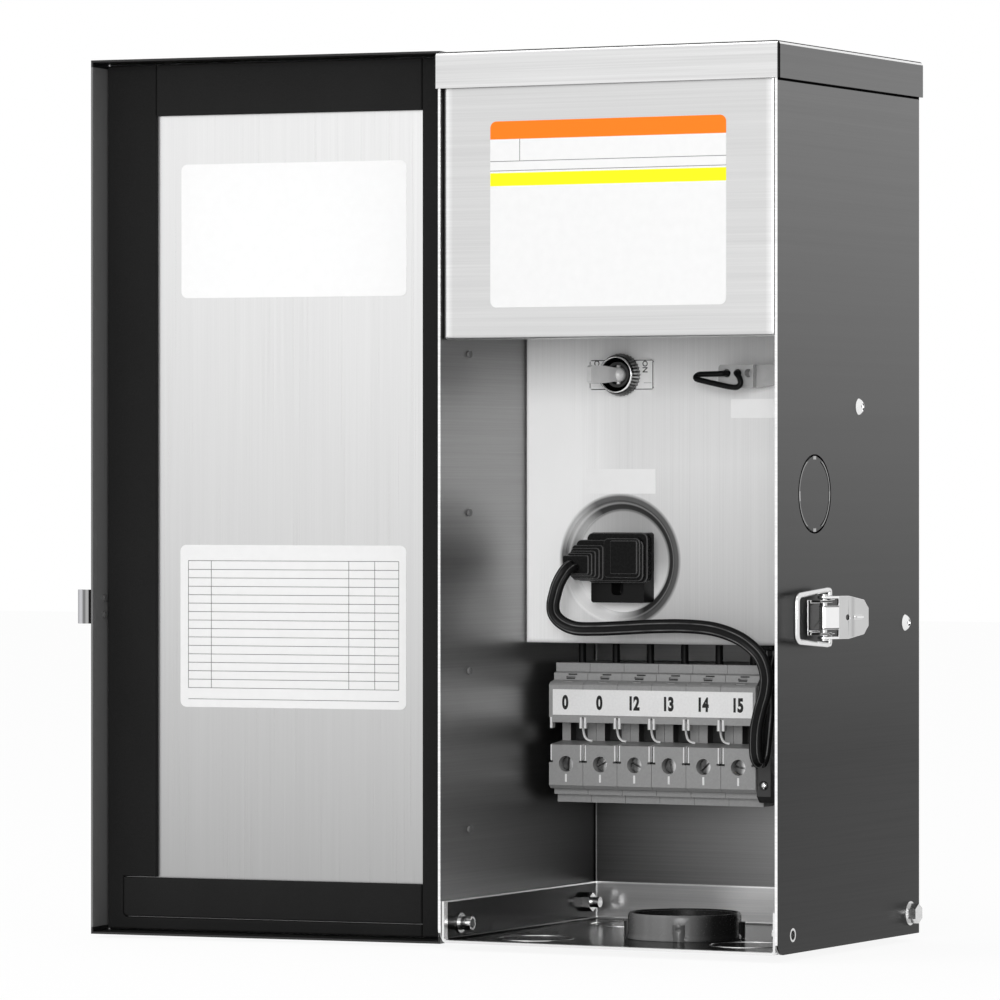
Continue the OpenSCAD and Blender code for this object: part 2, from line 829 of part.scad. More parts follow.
// Side view of a terminal block: foot, chin, screw face, niche, marker face and crown
module block_profile() {
    f = term_f;
    b = rail_front;
    top = rail_z + rail_w / 2 + hook_gap;
    low = rail_z - rail_w / 2 - hook_gap;
    lip_top = top - hook_lip;
    lip_low = low + hook_lip;
    polygon([
        [f + foot_in, foot_z], [f + foot_in, foot_z + foot_face],
        [f + band_in, foot_z + foot_face], [f + band_in, chin_z],
        [f + chin, chin_z], [f, chin_z + chin], [f, brow_z],
        [f + niche_d, brow_z + brow], [f + niche_d, niche_z], [f, niche_z],
        [f, label_top - label_cham], [f + label_cham, label_top],
        [f + crown_band_in, label_top + label_cham],
        [f + crown_band_in, label_top + label_cham + crown_band],
        [f + crown_in, crown_z - crown_face], [f + crown_in, crown_z],
        [b + hook_d, crown_z], [b + hook_d, lip_top],
        [b + rail_t + hook_gap, lip_top], [b + rail_t + hook_gap, top], [b - hook_gap, top],
        [b - hook_gap, low], [b + rail_t + hook_gap, low], [b + rail_t + hook_gap, lip_low],
        [b + hook_d, lip_low], [b + hook_d, foot_z]]);
}
function block_x(k) = term_x + (k - 1) * term_pitch;

module terminal(k) {
    f = term_f;
    gap = cage_gap;
    color(plastic) in_cabinet() translate([block_x(k), 0, 0]) difference() {
        union() {
            along_x(-term_w / 2, term_w / 2) block_profile();
            for (side = [-1, 1])
                box([side * (term_w / 2 - tab_notch - tab_w / 2) - tab_w / 2, f, tab_z0],
                    [side * (term_w / 2 - tab_notch - tab_w / 2) + tab_w / 2, f + notch_d,
                        niche_z + tab_notch]);
        }
        translate([0, 0, screw_z]) rod_y(f - over, f + cage_y - cage_travel, screw_hole_r);
        box([-cage_w / 2 - gap, f + cage_y - cage_travel - gap, screw_z - cage_h / 2 - gap],
            [cage_w / 2 + gap, f + cage_y + cage_len + gap, screw_z + cage_h / 2 + gap]);
        box([-bar_w / 2 - gap, f + bar_y - gap, screw_z - cage_h / 2 - gap],
            [bar_w / 2 + gap, f + bar_y + bar_t + gap, screw_z + bar_top + gap]);
        box([-port_w / 2, f + port_y0, foot_z - over],
            [port_w / 2, f + port_y1, screw_z]);
        translate([0, f + lead_y, crown_z - lead_port_d])
            cylinder(h = lead_port_d + over, r = lead_port_r);
        for (side = [-1, 1]) {
            box([side * term_w / 2 - notch_w / 2, f - over, brow_z - notch_h],
                [side * term_w / 2 + notch_w / 2, f + notch_d, brow_z + over]);
            box([side * term_w / 2 - notch_bar_w / 2, f - over, brow_z - notch_h],
                [side * term_w / 2 + notch_bar_w / 2, f + notch_d,
                    brow_z - notch_h + notch_bar_h]);
            box([side * term_w / 2 - tab_notch, f - over, niche_z - over],
                [side * term_w / 2 + tab_notch, f + notch_d, tab_z1]);
        }
        box([-window_w / 2, f + niche_d - over, brow_z + brow],
            [window_w / 2, f + niche_d + window_d, niche_z]);
        box([-crown_slot_w / 2, f + crown_band_in - over, crown_slot_z],
            [crown_slot_w / 2, f + crown_band_in + crown_slot_d, crown_slot_z + crown_slot_h]);
        box([-crown_slot_w / 2, f + crown_slot_d, label_top - crown_slot_h],
            [crown_slot_w / 2, f + 2 * crown_slot_d, crown_slot_z]);
        box([-tick_w / 2, f - over, tick_z], [tick_w / 2, f + tick_d, tick_z + tick_h]);
    }
}

module clamp_screw(k) {
    head = term_f + screw_recess;
    tip = term_f + bar_y - seat;
    color(steel) in_cabinet() translate([block_x(k), 0, screw_z]) difference() {
        union() {
            rod_y(head, head + screw_head_h, screw_head_r);
            rod_y(head, tip, thread_r);
        }
        rotate([0, 40 + 55 * k, 0]) box([-screw_head_r - over, head - over, -screw_slot / 2],
            [screw_head_r + over, head + screw_slot_d, screw_slot / 2]);
    }
}

module clamp_cage(k) {
    y0 = term_f + cage_y;
    color("goldenrod") in_cabinet() translate([block_x(k), 0, screw_z]) difference() {
        box([-cage_w / 2, y0, -cage_h / 2], [cage_w / 2, y0 + cage_len, cage_h / 2]);
        box([-cage_w / 2 + cage_t, y0 + cage_t, -cage_h / 2 - over],
            [cage_w / 2 - cage_t, y0 + cage_len - cage_t, cage_h / 2 + over]);
        rod_y(y0 - over, y0 + cage_t + over, thread_r + run_gap);
    }
}

module current_bars() {
    color("peru") in_cabinet() for (k = [1:6]) translate([block_x(k), 0, 0])
        box([-bar_w / 2, term_f + bar_y, screw_z - cage_h / 2],
            [bar_w / 2, term_f + bar_y + bar_t, screw_z + bar_top]);
}

module end_stop() {
    x0 = block_x(6) + term_pitch / 2;
    f = term_f + stop_in;
    b = rail_front;
    top = rail_z + rail_w / 2 + hook_gap;
    low = rail_z - rail_w / 2 - hook_gap;
    color("#505050") in_cabinet() difference() {
        along_x(x0, x0 + stop_w) polygon([
            [f, stop_z0 + stop_cham], [f, stop_z1 - stop_cham], [f + stop_cham, stop_z1],
            [b + hook_d, stop_z1], [b + hook_d, top - hook_lip],
            [b + rail_t + hook_gap, top - hook_lip], [b + rail_t + hook_gap, top],
            [b - hook_gap, top], [b - hook_gap, low], [b + rail_t + hook_gap, low],
            [b + rail_t + hook_gap, low + hook_lip], [b + hook_d, low + hook_lip],
            [b + hook_d, stop_z0], [f + stop_cham, stop_z0]]);
        for (z = stop_screw_z) translate([x0 + stop_w / 2, 0, z]) {
            rod_y(f - over, f + stop_sink, stop_screw_r + seat);
            rod_y(f - over, f + stop_shank_len, stop_shank_r);
        }
    }
}

module end_stop_screws() {
    x0 = block_x(6) + term_pitch / 2;
    f = term_f + stop_in + stop_sink;
    color(steel) in_cabinet() for (z = stop_screw_z) translate([x0 + stop_w / 2, f, z]) {
        rotate([90, 0, 0]) dome(stop_screw_r, stop_shank_r);
        rod_y(0, stop_shank_len - stop_sink, stop_shank_r);
    }
}

module marker_strip() {
    color("white") in_cabinet()
        box([block_x(1) - term_w / 2 + strip_in, term_f - strip_t, strip_z0],
            [block_x(6) + term_w / 2 - strip_in / 2, term_f, strip_z1]);
}

module receptacle() {
    back = panel_y + dish_depth;
    color(black) in_cabinet() translate([out_x, 0, out_z]) difference() {
        union() {
            along_y(out_front, back) translate([-out_w / 2, -out_h / 2])
                soft_rect(out_w, out_h, plug_r / 2, plug_r / 2, plug_r / 2, plug_r / 2);
            box([-out_body_w / 2, back - over, -out_body_h / 2],
                [out_body_w / 2, back + out_body_d, out_body_h / 2]);
        }
        for (side = [-1, 1])
            translate([side * blade_x, 0, blade_z - out_z])
                box([-blade_t / 2 - blade_gap, out_front - over, -blade_w / 2 - blade_gap],
                    [blade_t / 2 + blade_gap, plug_back + blade_len + blade_gap,
                        blade_w / 2 + blade_gap]);
        translate([0, 0, ground_z - out_z])
            along_y(out_front - over, out_front + ground_d) translate([-ground_w / 2, -ground_w / 2])
                soft_rect(ground_w, ground_w, ground_w / 3, ground_w / 3, 0, 0);
    }
}

module plug_body() {
    tail_front = plug_front - tail_proud;
    rib_front = plug_front - tail_proud / 2;
    color(black) in_cabinet() difference() {
        union() {
            along_y(plug_front, plug_back) translate([plug_x0, plug_z0])
                soft_rect(plug_x1 - plug_x0, plug_z1 - plug_z0, plug_r, plug_r, plug_r, plug_r);
            along_y(plug_front - pad_t, plug_front) translate([pad_x0, pad_z0])
                soft_rect(pad_x1 - pad_x0, pad_z1 - pad_z0, over, over, over, over);
            for (i = [1:rib_n])
                box([pad_x0 - i * rib_step, rib_front, tail_z0],
                    [pad_x0 - i * rib_step + rib_t, plug_front + over,
                        pad_z1 + rib_shrink / 2 - i * rib_shrink]);
            box([tail_x0 + rib_step, rib_front + rib_t / 2, tail_z0 + over],
                [plug_x0 + over, rib_front + tail_t, tail_z1 - over]);
            along_y(tail_front, tail_front + tail_t) translate([tail_x0, tail_z0])
                soft_rect(tail_w, tail_z1 - tail_z0, plug_r, over, over, plug_r);
        }
        for (side = [-1, 1])
            translate([out_x + side * blade_x, 0, blade_z])
                box([-blade_t / 2, plug_back - plug_d / 2, -blade_w / 2],
                    [blade_t / 2, plug_back + over, blade_w / 2]);
    }
}

module plug_blades() {
    color("goldenrod") in_cabinet() for (side = [-1, 1])
        translate([out_x + side * blade_x, 0, blade_z])
            box([-blade_t / 2, plug_back - plug_d / 2, -blade_w / 2],
                [blade_t / 2, plug_back + blade_len, blade_w / 2]);
}

module plug_cord() {
    color(black) in_cabinet() tube(cord_route, cord_r, 8, [1, 0, 0]);
}

module strain_relief() {
    x = cord_route[0][0];
    y = cord_route[0][1];
    z = cord_route[0][2];
    color(black) in_cabinet() translate([x, y, 0]) rotate_extrude() polygon([
        [0, z], [relief_neck_r, z], [relief_r, z + seat + seat], [relief_r, shelf_z],
        [relief_neck_r, shelf_z], [relief_neck_r, shelf_z + sheet],
        [relief_r, shelf_z + sheet], [relief_r - relief_t / 2, shelf_z + relief_top],
        [0, shelf_z + relief_top]]);
}

module toggle_body() {
    back = panel_y + sheet;
    color(black) in_cabinet() translate([tog_x, 0, tog_z]) difference() {
        union() {
            box([-tog_box_w / 2, back, -tog_box_h / 2],
                [tog_box_w / 2, back + tog_box_d, tog_box_h / 2]);
            rod_y(panel_y - tog_bush_len, back + over, tog_bush_r);
            for (side = [-1, 1])
                box([side * tog_box_w / 4 - tog_lug_w / 2, back + tog_box_d - over, -tog_lug_h / 2],
                    [side * tog_box_w / 4 + tog_lug_w / 2, back + tog_box_d + tog_lug_d,
                        tog_lug_h / 2]);
        }
        rod_y(panel_y - tog_bush_len - over, panel_y, tog_bore_r);
    }
}

// Knurled ring that narrows to a thin rim, with a deep cup round the lever
module toggle_nut() {
    y1 = panel_y - tog_plate_t;
    y0 = y1 - tog_ring_len;
    color(steel) in_cabinet() translate([tog_x, 0, tog_z]) difference() {
        union() {
            intersection() {
                along_y(y0 + tog_rim_t, y1) polygon([for (i = [0:2 * tog_teeth - 1])
                    let (a = 180 * i / tog_teeth, r = tog_ring_r - (i % 2) * tog_tooth)
                    [r * cos(a), r * sin(a)]]);
                translate([0, y0, 0]) rotate([-90, 0, 0])
                    cylinder(h = tog_ring_len, r1 = tog_ring_front_r, r2 = tog_ring_r + tog_tooth);
            }
            rod_y(y0, y0 + tog_rim_t + tog_tooth, tog_ring_front_r);
        }
        rod_y(y0 - over, y1 + over, tog_bush_r + run_gap);
        rod_y(y0 - over, y0 + tog_cup_d, tog_cup_r);
    }
}

module toggle_plate() {
    w = tog_plate_w / 2;
    h = tog_plate_h / 2;
    color("lightgray") in_cabinet() translate([tog_x, 0, tog_z]) difference() {
        along_y(panel_y - tog_plate_t, panel_y) translate([-w, -h])
            soft_rect(2 * w, 2 * h, tog_plate_r, tog_plate_r, tog_plate_r, tog_plate_r);
        rod_y(panel_y - tog_plate_t - over, panel_y + over, tog_bush_r + run_gap);
    }
}

module toggle_lever() {
    h = tog_bat_h / 2;
    w = tog_bat_w / 2;
    r = tog_bat_root / 2;
    color(steel) in_cabinet() translate([tog_x, panel_y - tog_ball_r - seat, tog_z])
        rotate([0, 0, -tog_tilt]) {
            sphere(tog_ball_r);
            translate([0, 0, seat - tog_bore_r])
                cylinder(h = 2 * (tog_bore_r - seat), r = tog_pivot_r);
            along_x(-w, w) polygon([[-tog_bat_start, r], [-tog_bat_start, -r],
                [-tog_bat_neck, -h + seat], [-tog_len + tog_bat_nose, -h],
                [-tog_len, -h + tog_bat_nose], [-tog_len, h - tog_bat_nose],
                [-tog_len + tog_bat_nose, h], [-tog_bat_neck, h - seat]]);
        }
}

module splice_connector() {
    y1 = panel_y - seat;
    y0 = y1 - spl_d;
    color("lightgray", 0.7) in_cabinet() difference() {
        union() {
            along_y(y0, y1) translate([spl_x0, spl_z0])
                soft_rect(spl_x1 - spl_x0, spl_z1 - spl_z0, spl_r, 0, 0, spl_r);
            along_y(y1 - spl_tail_d, y1)
                polygon([[spl_x1 - over, spl_z0], [spl_x2, spl_port_z - spl_tail_h / 2],
                    [spl_x2, spl_port_z + spl_tail_h / 2], [spl_x1 - over, spl_z1]]);
        }
        for (x = spl_ports)
            translate([x, 0, spl_port_z]) rod_y(y0 - over, y0 + spl_port_d, spl_port_r);
    }
}

module jumper_wire() {
    color(black) in_cabinet() tube(jumper_route, wire_r, 8, [0, 0, 1]);
}

module toroid() {
    w = toroid_d / 2 - tor_bore_r;
    color("khaki") in_cabinet() translate([0, tor_y0, tor_z]) rotate([-90, 0, 0])
        rotate_extrude() translate([tor_bore_r, 0])
            soft_rect(w, toroid_h, tor_round, tor_round, tor_round, tor_round);
}

module toroid_pads() {
    color(black) in_cabinet() translate([0, 0, tor_z]) for (y = [tor_pad0, tor_y1])
        difference() {
            rod_y(y, y + tor_pad_t, tor_pad_r);
            rod_y(y - over, y + tor_pad_t + over, tor_bore_r);
        }
}

// Dished washer that draws the core against the inner panel
module toroid_washer() {
    y = tor_y1 + tor_pad_t;
    t = tor_washer_t;
    color(steel) in_cabinet() translate([0, y, tor_z]) rotate([-90, 0, 0]) rotate_extrude()
        polygon([[tor_bolt_r + seat, -tor_dish_d], [tor_dish_r, -tor_dish_d],
            [tor_bore_r, 0], [tor_washer_r, 0], [tor_washer_r, t], [tor_bore_r - t, t],
            [tor_dish_r - t, t - tor_dish_d], [tor_bolt_r + seat, t - tor_dish_d]]);
}

module toroid_bolt() {
    nut_y0 = tor_y1 + tor_pad_t - tor_dish_d + tor_washer_t;
    color(steel) in_cabinet() translate([0, 0, tor_z]) {
        translate([0, panel_y - tor_head_h, 0]) rotate([-90, 0, 0])
            cylinder(h = tor_head_h, r = tor_head_r, $fn = 6);
        rod_y(panel_y - over, nut_y0 + tor_nut_h + 2 * over, tor_bolt_r);
        translate([0, nut_y0, 0]) rotate([-90, 0, 0])
            cylinder(h = tor_nut_h, r = tor_head_r, $fn = 6);
    }
}

// Output leads: from the underside of the core, through the shelf, into the blocks' tops
module secondary_leads() {
    y0 = tor_y0 + toroid_h / 2;
    color(black) in_cabinet() for (k = [1:6]) {
        xs = (k - 3.5) * lead_spread;
        zs = tor_z + lead_root - sqrt(pow(toroid_d / 2, 2) - pow(xs, 2));
        tube([for (s = lead_steps_shares) let (e = (1 - cos(180 * min(1, s / 0.8))) / 2)
            [xs + (block_x(k) - xs) * e, y0 + (term_f + lead_y - y0) * e,
                zs + (lead_bottom - zs) * s]], lead_r, 8, [1, 0, 0]);
    }
}

module door_pan() {
    w = door_half;
    h = door_z1 - door_z0;
    d = door_rim - door_out;
    t = door_sheet;
    color(steel) in_door() difference() {
        intersection() {
            translate([-w, door_out, door_z0]) linear_extrude(h)
                soft_rect(2 * w, d, door_fold, door_fold, 0, 0);
            along_x(-w, w) translate([door_out, door_z0]) soft_rect(d, h, door_fold, 0, 0, door_fold);
        }
        intersection() {
            translate([-w + t, door_in, door_z0]) linear_extrude(h)
                soft_rect(2 * (w - t), d, door_fold - t, door_fold - t, 0, 0);
            along_x(-w, w) translate([door_in, door_z0 + t])
                soft_rect(d, h - 2 * t, door_fold - t, 0, 0, door_fold - t);
        }
        for (i = [0:hinge_rivets - 1]) translate([0, hinge_rivet_in, hinge_rivet_z(i)])
            rod_x(-w - over, -w + t + over, rivet_r);
        for (z = [-keep_w / 4, keep_w / 4]) translate([0, keep_y0 + keep_t * 3, keep_z + z])
            rod_x(w - t - over, w + over, rivet_r);
    }
}

// Foam strips stuck on the inside of the door, where the front edges press
module door_gaskets() {
    w = foam_half;
    z0 = door_z0 + door_sheet + foam_edge;
    z1 = door_z1 - door_sheet - foam_edge;
    strip_top = foam_bottom_z + foam_bottom;
    color(black) in_door() {
        difference() {
            box([foam_free_x, door_in, z0], [w, foam_y, z1]);
            box([foam_free_x - over, door_in - over, foam_bottom_z],
                [foam_step, foam_y + over, strip_top]);
        }
        box([-w, door_in, z0], [foam_hinge_x, foam_y, z1]);
        box([foam_hinge_x, door_in, z1 - foam_top], [foam_free_x, foam_y, z1]);
        box([foam_hinge_x, door_in, z0], [foam_free_x, foam_y, foam_bottom_z - foam_joint]);
        along_y(door_in, foam_y) translate([foam_hinge_x, foam_bottom_z])
            soft_rect(foam_step - foam_hinge_x, foam_bottom, 0, foam_t, 0, 0);
    }
}

function knuckle_z(i) = hinge_z0 + hinge_len * i / hinge_knuckles;
knuckle_len = hinge_len / hinge_knuckles - hinge_gap;

// Leaf riveted to the cabinet, with every other knuckle of the hinge
module hinge_cabinet_leaf() {
    color(steel) in_cabinet() difference() {
        union() {
            box([-half_w - hinge_t, hinge_leaf_y, hinge_z0],
                [-half_w, hinge_leaf, hinge_z0 + hinge_len - hinge_gap]);
            for (i = [0:2:hinge_knuckles - 1])
                translate([0, 0, knuckle_z(i)]) linear_extrude(knuckle_len) union() {
                    translate([hinge_x, hinge_y]) circle(hinge_r);
                    polygon([[hinge_x - hinge_t, hinge_y + hinge_r * 0.85],
                        [-half_w - hinge_t, hinge_leaf_y + hinge_t],
                        [-half_w, hinge_leaf_y + hinge_t], [-half_w, hinge_leaf_y],
                        [hinge_x + hinge_t, hinge_y + hinge_t / 2]]);
                }
        }
        translate([hinge_x, hinge_y, hinge_z0 - over])
            cylinder(h = hinge_len + 2 * over, r = hinge_pin_r);
        for (i = [0:hinge_rivets - 1])
            translate([0, hinge_rivet_y, hinge_rivet_z(i)])
                rod_x(-half_w - hinge_t - over, -half_w + over, rivet_r);
    }
}

// Leaf riveted to the door's rim, with the knuckles in between
module hinge_door_leaf() {
    x0 = -door_half - hinge_t;
    color(steel) in_door() difference() {
        union() {
            box([x0, hinge_door_y0, hinge_z0],
                [-door_half, hinge_door_y1, hinge_z0 + hinge_len - hinge_gap]);
            for (i = [1:2:hinge_knuckles - 1])
                translate([0, 0, knuckle_z(i)]) linear_extrude(knuckle_len) union() {
                    translate([hinge_x, hinge_y]) circle(hinge_r);
                    translate([x0, hinge_door_y1 - over]) square([hinge_t, hinge_r + over]);
                }
        }
        translate([hinge_x, hinge_y, hinge_z0 - over])
            cylinder(h = hinge_len + 2 * over, r = hinge_pin_r + run_gap);
        for (i = [0:hinge_rivets - 1]) translate([0, hinge_rivet_in, hinge_rivet_z(i)])
            rod_x(x0 - over, -door_half + over, rivet_r);
    }
}

module hinge_pin() {
    color(steel) in_cabinet() translate([hinge_x, hinge_y, hinge_z0 - over])
        cylinder(h = hinge_len + 2 * over - hinge_gap, r = hinge_pin_r);
}

// Rivets of the door: hinge leaf and latch keeper to the rim
module door_rivets() {
    color(steel) in_door() {
        for (i = [0:hinge_rivets - 1])
            translate([-door_half, hinge_rivet_in, hinge_rivet_z(i)]) {
                translate([-hinge_t, 0, 0]) dome_x(rivet_head_r, rivet_head_h, -1);
                rod_x(-hinge_t, door_sheet + rivet_head_h, rivet_r);
            }
        for (z = [-keep_w / 4, keep_w / 4])
            translate([door_half, keep_y0 + keep_t * 3, keep_z + z]) {
                translate([keep_t, 0, 0]) dome_x(rivet_head_r * 0.9, rivet_head_h, 1);
                rod_x(-door_sheet - rivet_head_h, keep_t, rivet_r);
            }
    }
}

// Hooked keeper on the door's free rim: the bail's bar seats in front of its flange
module latch_keeper() {
    x = door_half;
    color(steel) in_door() difference() {
        translate([0, 0, keep_z - keep_w / 2]) linear_extrude(keep_w) difference() {
            translate([x, keep_y0]) soft_rect(keep_out, keep_y1 - keep_y0, 0, 0, fold_r, 0);
            translate([x + keep_t, keep_y0 - over])
                soft_rect(keep_out - 2 * keep_t, keep_y1 - keep_y0 - keep_t + over,
                    0, 0, fold_r - keep_t, fold_r - keep_t);
            translate([x + keep_out - keep_t - over / 2, keep_y0 - over])
                square([keep_t + over, keep_y1 - keep_lip - keep_y0 + over]);
        }
        for (z = [-keep_w / 4, keep_w / 4]) translate([0, keep_y0 + keep_t * 3, keep_z + z])
            rod_x(x - over, x + keep_t + over / 4, rivet_r);
    }
}

// Base riveted to the side wall, with two ears for the lever's pin
module latch_base() {
    h = base_w / 2;
    color(steel) in_cabinet() translate([half_w, 0, latch_z]) difference() {
        union() {
            box([0, base_y0, -h], [latch_t, base_y1, h]);
            for (side = [-1, 1])
                translate([0, 0, side > 0 ? h - latch_t : -h]) linear_extrude(latch_t)
                    translate([0, ear_y0])
                        soft_rect(ear_h, ear_y1 - ear_y0, 0, fold_r * 1.4, fold_r * 1.4, 0);
        }
        translate([pin_x - half_w, pin_y, -h - over]) cylinder(h = base_w + 2 * over, r = pin_r);
        for (y = rivet_latch_y) translate([0, y, 0]) rod_x(-over, latch_t + over, rivet_r);
    }
}

module latch_pin() {
    h = cheek_in + cheek_t + pin_proud;
    color(steel) in_cabinet() translate([pin_x, pin_y, latch_z]) {
        translate([0, 0, -h]) cylinder(h = 2 * h, r = pin_r);
        translate([0, 0, h - over / 2]) cylinder(h = over / 2, r = pin_r * 1.5);
        translate([0, 0, -h]) cylinder(h = over / 2, r = pin_r * 1.5);
    }
}

// Lever: a paddle rolled over the spring at its root, with two cheeks that carry the bail
module latch_lever() {
    dx = bail_x - pin_x;
    dy = bail_y - pin_y;
    ca = cos(lever_lift);
    sa = sin(lever_lift);
    bx = dx * ca - dy * sa;
    by = dx * sa + dy * ca;
    face = hub_r - latch_t;
    w = lever_w / 2;
    color(steel) in_lever() difference() {
        union() {
            translate([0, 0, -lever_in_w / 2]) linear_extrude(lever_in_w) {
                difference() {
                    circle(hub_r);
                    circle(face);
                    translate([-hub_r - over, 0]) square(2 * (hub_r + over));
                    rotate(-60) translate([-2 * hub_r, -hub_r * 2])
                        square([3 * hub_r + over, 2 * hub_r]);
                }
                translate([face, -run_gap]) square([latch_t, lever_wide + over]);
            }
            translate([hub_r, 0, 0]) rotate([0, -90, 0]) linear_extrude(latch_t) polygon([
                [-w, lever_wide], [-w, lever_taper],
                [-lever_tip_w / 2, lever_len - lever_nose],
                [-lever_nose_w / 2 - over, lever_len - over], [-lever_nose_w / 2, lever_len],
                [lever_nose_w / 2, lever_len], [lever_nose_w / 2 + over, lever_len - over],
                [lever_tip_w / 2, lever_len - lever_nose], [w, lever_taper],
                [w, lever_wide]]);
            box([hub_r - over / 2, lever_rib_y0, -lever_rib_w / 2],
                [hub_r + lever_rib_h, lever_rib_y1, lever_rib_w / 2]);
            for (z = [-cheek_in - cheek_t, cheek_in])
                translate([0, 0, z]) linear_extrude(cheek_t) difference() {
                    union() {
                        circle(face + seat);
                        translate([bx, by]) circle(bail_r * 2.1);
                        polygon([[0, -face - seat], [face + seat, 0], [hub_r, lever_wide],
                            [hub_r, lever_wide * 2], [face, lever_wide * 2],
                            [bx + bail_r * 2, by], [bx - bail_r * 2, by],
                            [-face - seat, 0]]);
                    }
                    circle(pin_r + run_gap);
                    translate([bx, by]) circle(bail_r + run_gap);
                }
        }
        translate([0, lever_hole_y, 0]) rod_x(face - over, hub_r + over, lever_hole_r);
    }
}

// Bail: one bent wire, a bar in front, two arms, and two ends turned into the cheeks
module latch_bail() {
    f = bail_half_front;
    b = bail_half_back;
    e = cheek_in - bail_r / 2;
    c = bail_fold_r;
    y0 = bail_bar_y;
    y1 = bail_y;
    route = concat(
        [[0, y1, e], [0, y1, (e + b) / 2]],
        [for (a = [0:22.5:67.5]) [0, y1 - bail_r * (1 - cos(a)), b - bail_r + bail_r * sin(a)]],
        [[0, y1 - c, b], [0, (y0 + y1) / 2, (f + b) / 2]],
        [for (a = [0:22.5:90]) [0, y0 + c - c * sin(a), f - c + c * cos(a)]],
        [[0, y0, 0]]);
    far = [for (i = [len(route) - 2:-1:0]) [route[i][0], route[i][1], -route[i][2]]];
    color(steel) in_cabinet() translate([bail_x, 0, latch_z])
        tube(concat(route, far), bail_r, 12, [1, 0, 0]);
}

// Torsion spring round the pin: one wire, wound by formula, with a leg along the base
function spring_curl() = [for (i = [0:8 * spring_curls])
    let (a = 180 - 45 * i) [spring_r * cos(a), spring_r * sin(a),
        spring_pitch * i / 8 - spring_pitch * spring_curls / 2]];
function spring_path() = let (z = spring_end)
    concat([[-spring_r - spring_leg_drop, -spring_leg, -z],
        [-spring_r - spring_leg_drop, -spring_leg / 2, -z], [-spring_r, -spring_wire, -z]],
        spring_curl(), [[-spring_r, spring_wire, z], [-spring_r, spring_tail, z]]);
module latch_spring() {
    color(steel) in_cabinet() translate([pin_x, pin_y, latch_z])
        tube(spring_path(), spring_wire / 2, 6, [0, 0, 1]);
}
spring_gap = min([for (p = spring_curl(), q = spring_curl())
    if (abs(p[2] - q[2]) > spring_pitch / 2) norm(p - q)]) - spring_wire;
echo(spring_least_gap = spring_gap, cord_length = route_length(cord_route));

cabinet_shell();
floor_tray();
roof_cap();
fascia_panel();
chassis_panel();
conduit_bushing();
tray_fasteners();
chassis_screws();
din_rail();
blind_rivets();
terminal(1);  // terminal_1
terminal(2);  // terminal_2
terminal(3);  // terminal_3
terminal(4);  // terminal_4
terminal(5);  // terminal_5
terminal(6);  // terminal_6
clamp_screw(1);  // clamp_screw_1
clamp_screw(2);  // clamp_screw_2
clamp_screw(3);  // clamp_screw_3
clamp_screw(4);  // clamp_screw_4
clamp_screw(5);  // clamp_screw_5
clamp_screw(6);  // clamp_screw_6
clamp_cage(1);  // clamp_cage_1
clamp_cage(2);  // clamp_cage_2
clamp_cage(3);  // clamp_cage_3
clamp_cage(4);  // clamp_cage_4
clamp_cage(5);  // clamp_cage_5
clamp_cage(6);  // clamp_cage_6
current_bars();
end_stop();
end_stop_screws();
marker_strip();
receptacle();
plug_body();
plug_blades();
plug_cord();
strain_relief();
toggle_body();
toggle_nut();
toggle_plate();
toggle_lever();
splice_connector();
jumper_wire();
toroid();
toroid_pads();
toroid_washer();
toroid_bolt();
secondary_leads();
door_pan();
door_gaskets();
hinge_cabinet_leaf();
hinge_door_leaf();
hinge_pin();
door_rivets();
latch_keeper();
latch_base();
latch_lever();
latch_bail();
latch_spring();
latch_pin();
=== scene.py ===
"""A low voltage landscape lighting transformer in a wall cabinet of folded stainless sheet.

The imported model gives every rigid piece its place. This script adds the camera, the light and
the floor, and then goes over the cabinet piece by piece: the finish of its sheets, the labels,
the output side, the controls, the cords, the door and the latch.
"""
import json
import math

import bmesh
import bpy
from mathutils import Matrix, Vector

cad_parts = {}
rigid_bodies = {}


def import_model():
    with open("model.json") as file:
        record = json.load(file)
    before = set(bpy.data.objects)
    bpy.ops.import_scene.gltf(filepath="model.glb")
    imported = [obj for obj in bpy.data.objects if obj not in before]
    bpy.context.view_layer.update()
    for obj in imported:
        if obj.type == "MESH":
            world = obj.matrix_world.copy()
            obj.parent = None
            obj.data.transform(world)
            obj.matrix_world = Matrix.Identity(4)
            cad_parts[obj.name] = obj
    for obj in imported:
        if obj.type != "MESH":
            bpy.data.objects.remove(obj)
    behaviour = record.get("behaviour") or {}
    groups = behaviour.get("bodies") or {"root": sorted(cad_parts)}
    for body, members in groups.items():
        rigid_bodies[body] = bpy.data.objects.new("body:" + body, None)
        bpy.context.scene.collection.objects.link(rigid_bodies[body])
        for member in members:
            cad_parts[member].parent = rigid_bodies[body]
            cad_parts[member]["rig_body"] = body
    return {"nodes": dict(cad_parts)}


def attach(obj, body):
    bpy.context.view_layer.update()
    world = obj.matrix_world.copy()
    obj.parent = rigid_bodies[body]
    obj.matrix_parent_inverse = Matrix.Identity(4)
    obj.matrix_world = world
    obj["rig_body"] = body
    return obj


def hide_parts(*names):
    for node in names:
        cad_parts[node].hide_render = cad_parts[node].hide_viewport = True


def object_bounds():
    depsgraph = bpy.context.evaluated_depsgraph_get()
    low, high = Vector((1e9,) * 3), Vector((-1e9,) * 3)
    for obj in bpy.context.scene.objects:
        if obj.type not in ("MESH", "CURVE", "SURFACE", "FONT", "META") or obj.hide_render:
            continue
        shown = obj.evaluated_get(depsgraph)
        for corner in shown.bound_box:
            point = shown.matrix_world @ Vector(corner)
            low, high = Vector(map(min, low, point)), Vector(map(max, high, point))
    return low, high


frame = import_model()
cad_low, cad_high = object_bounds()

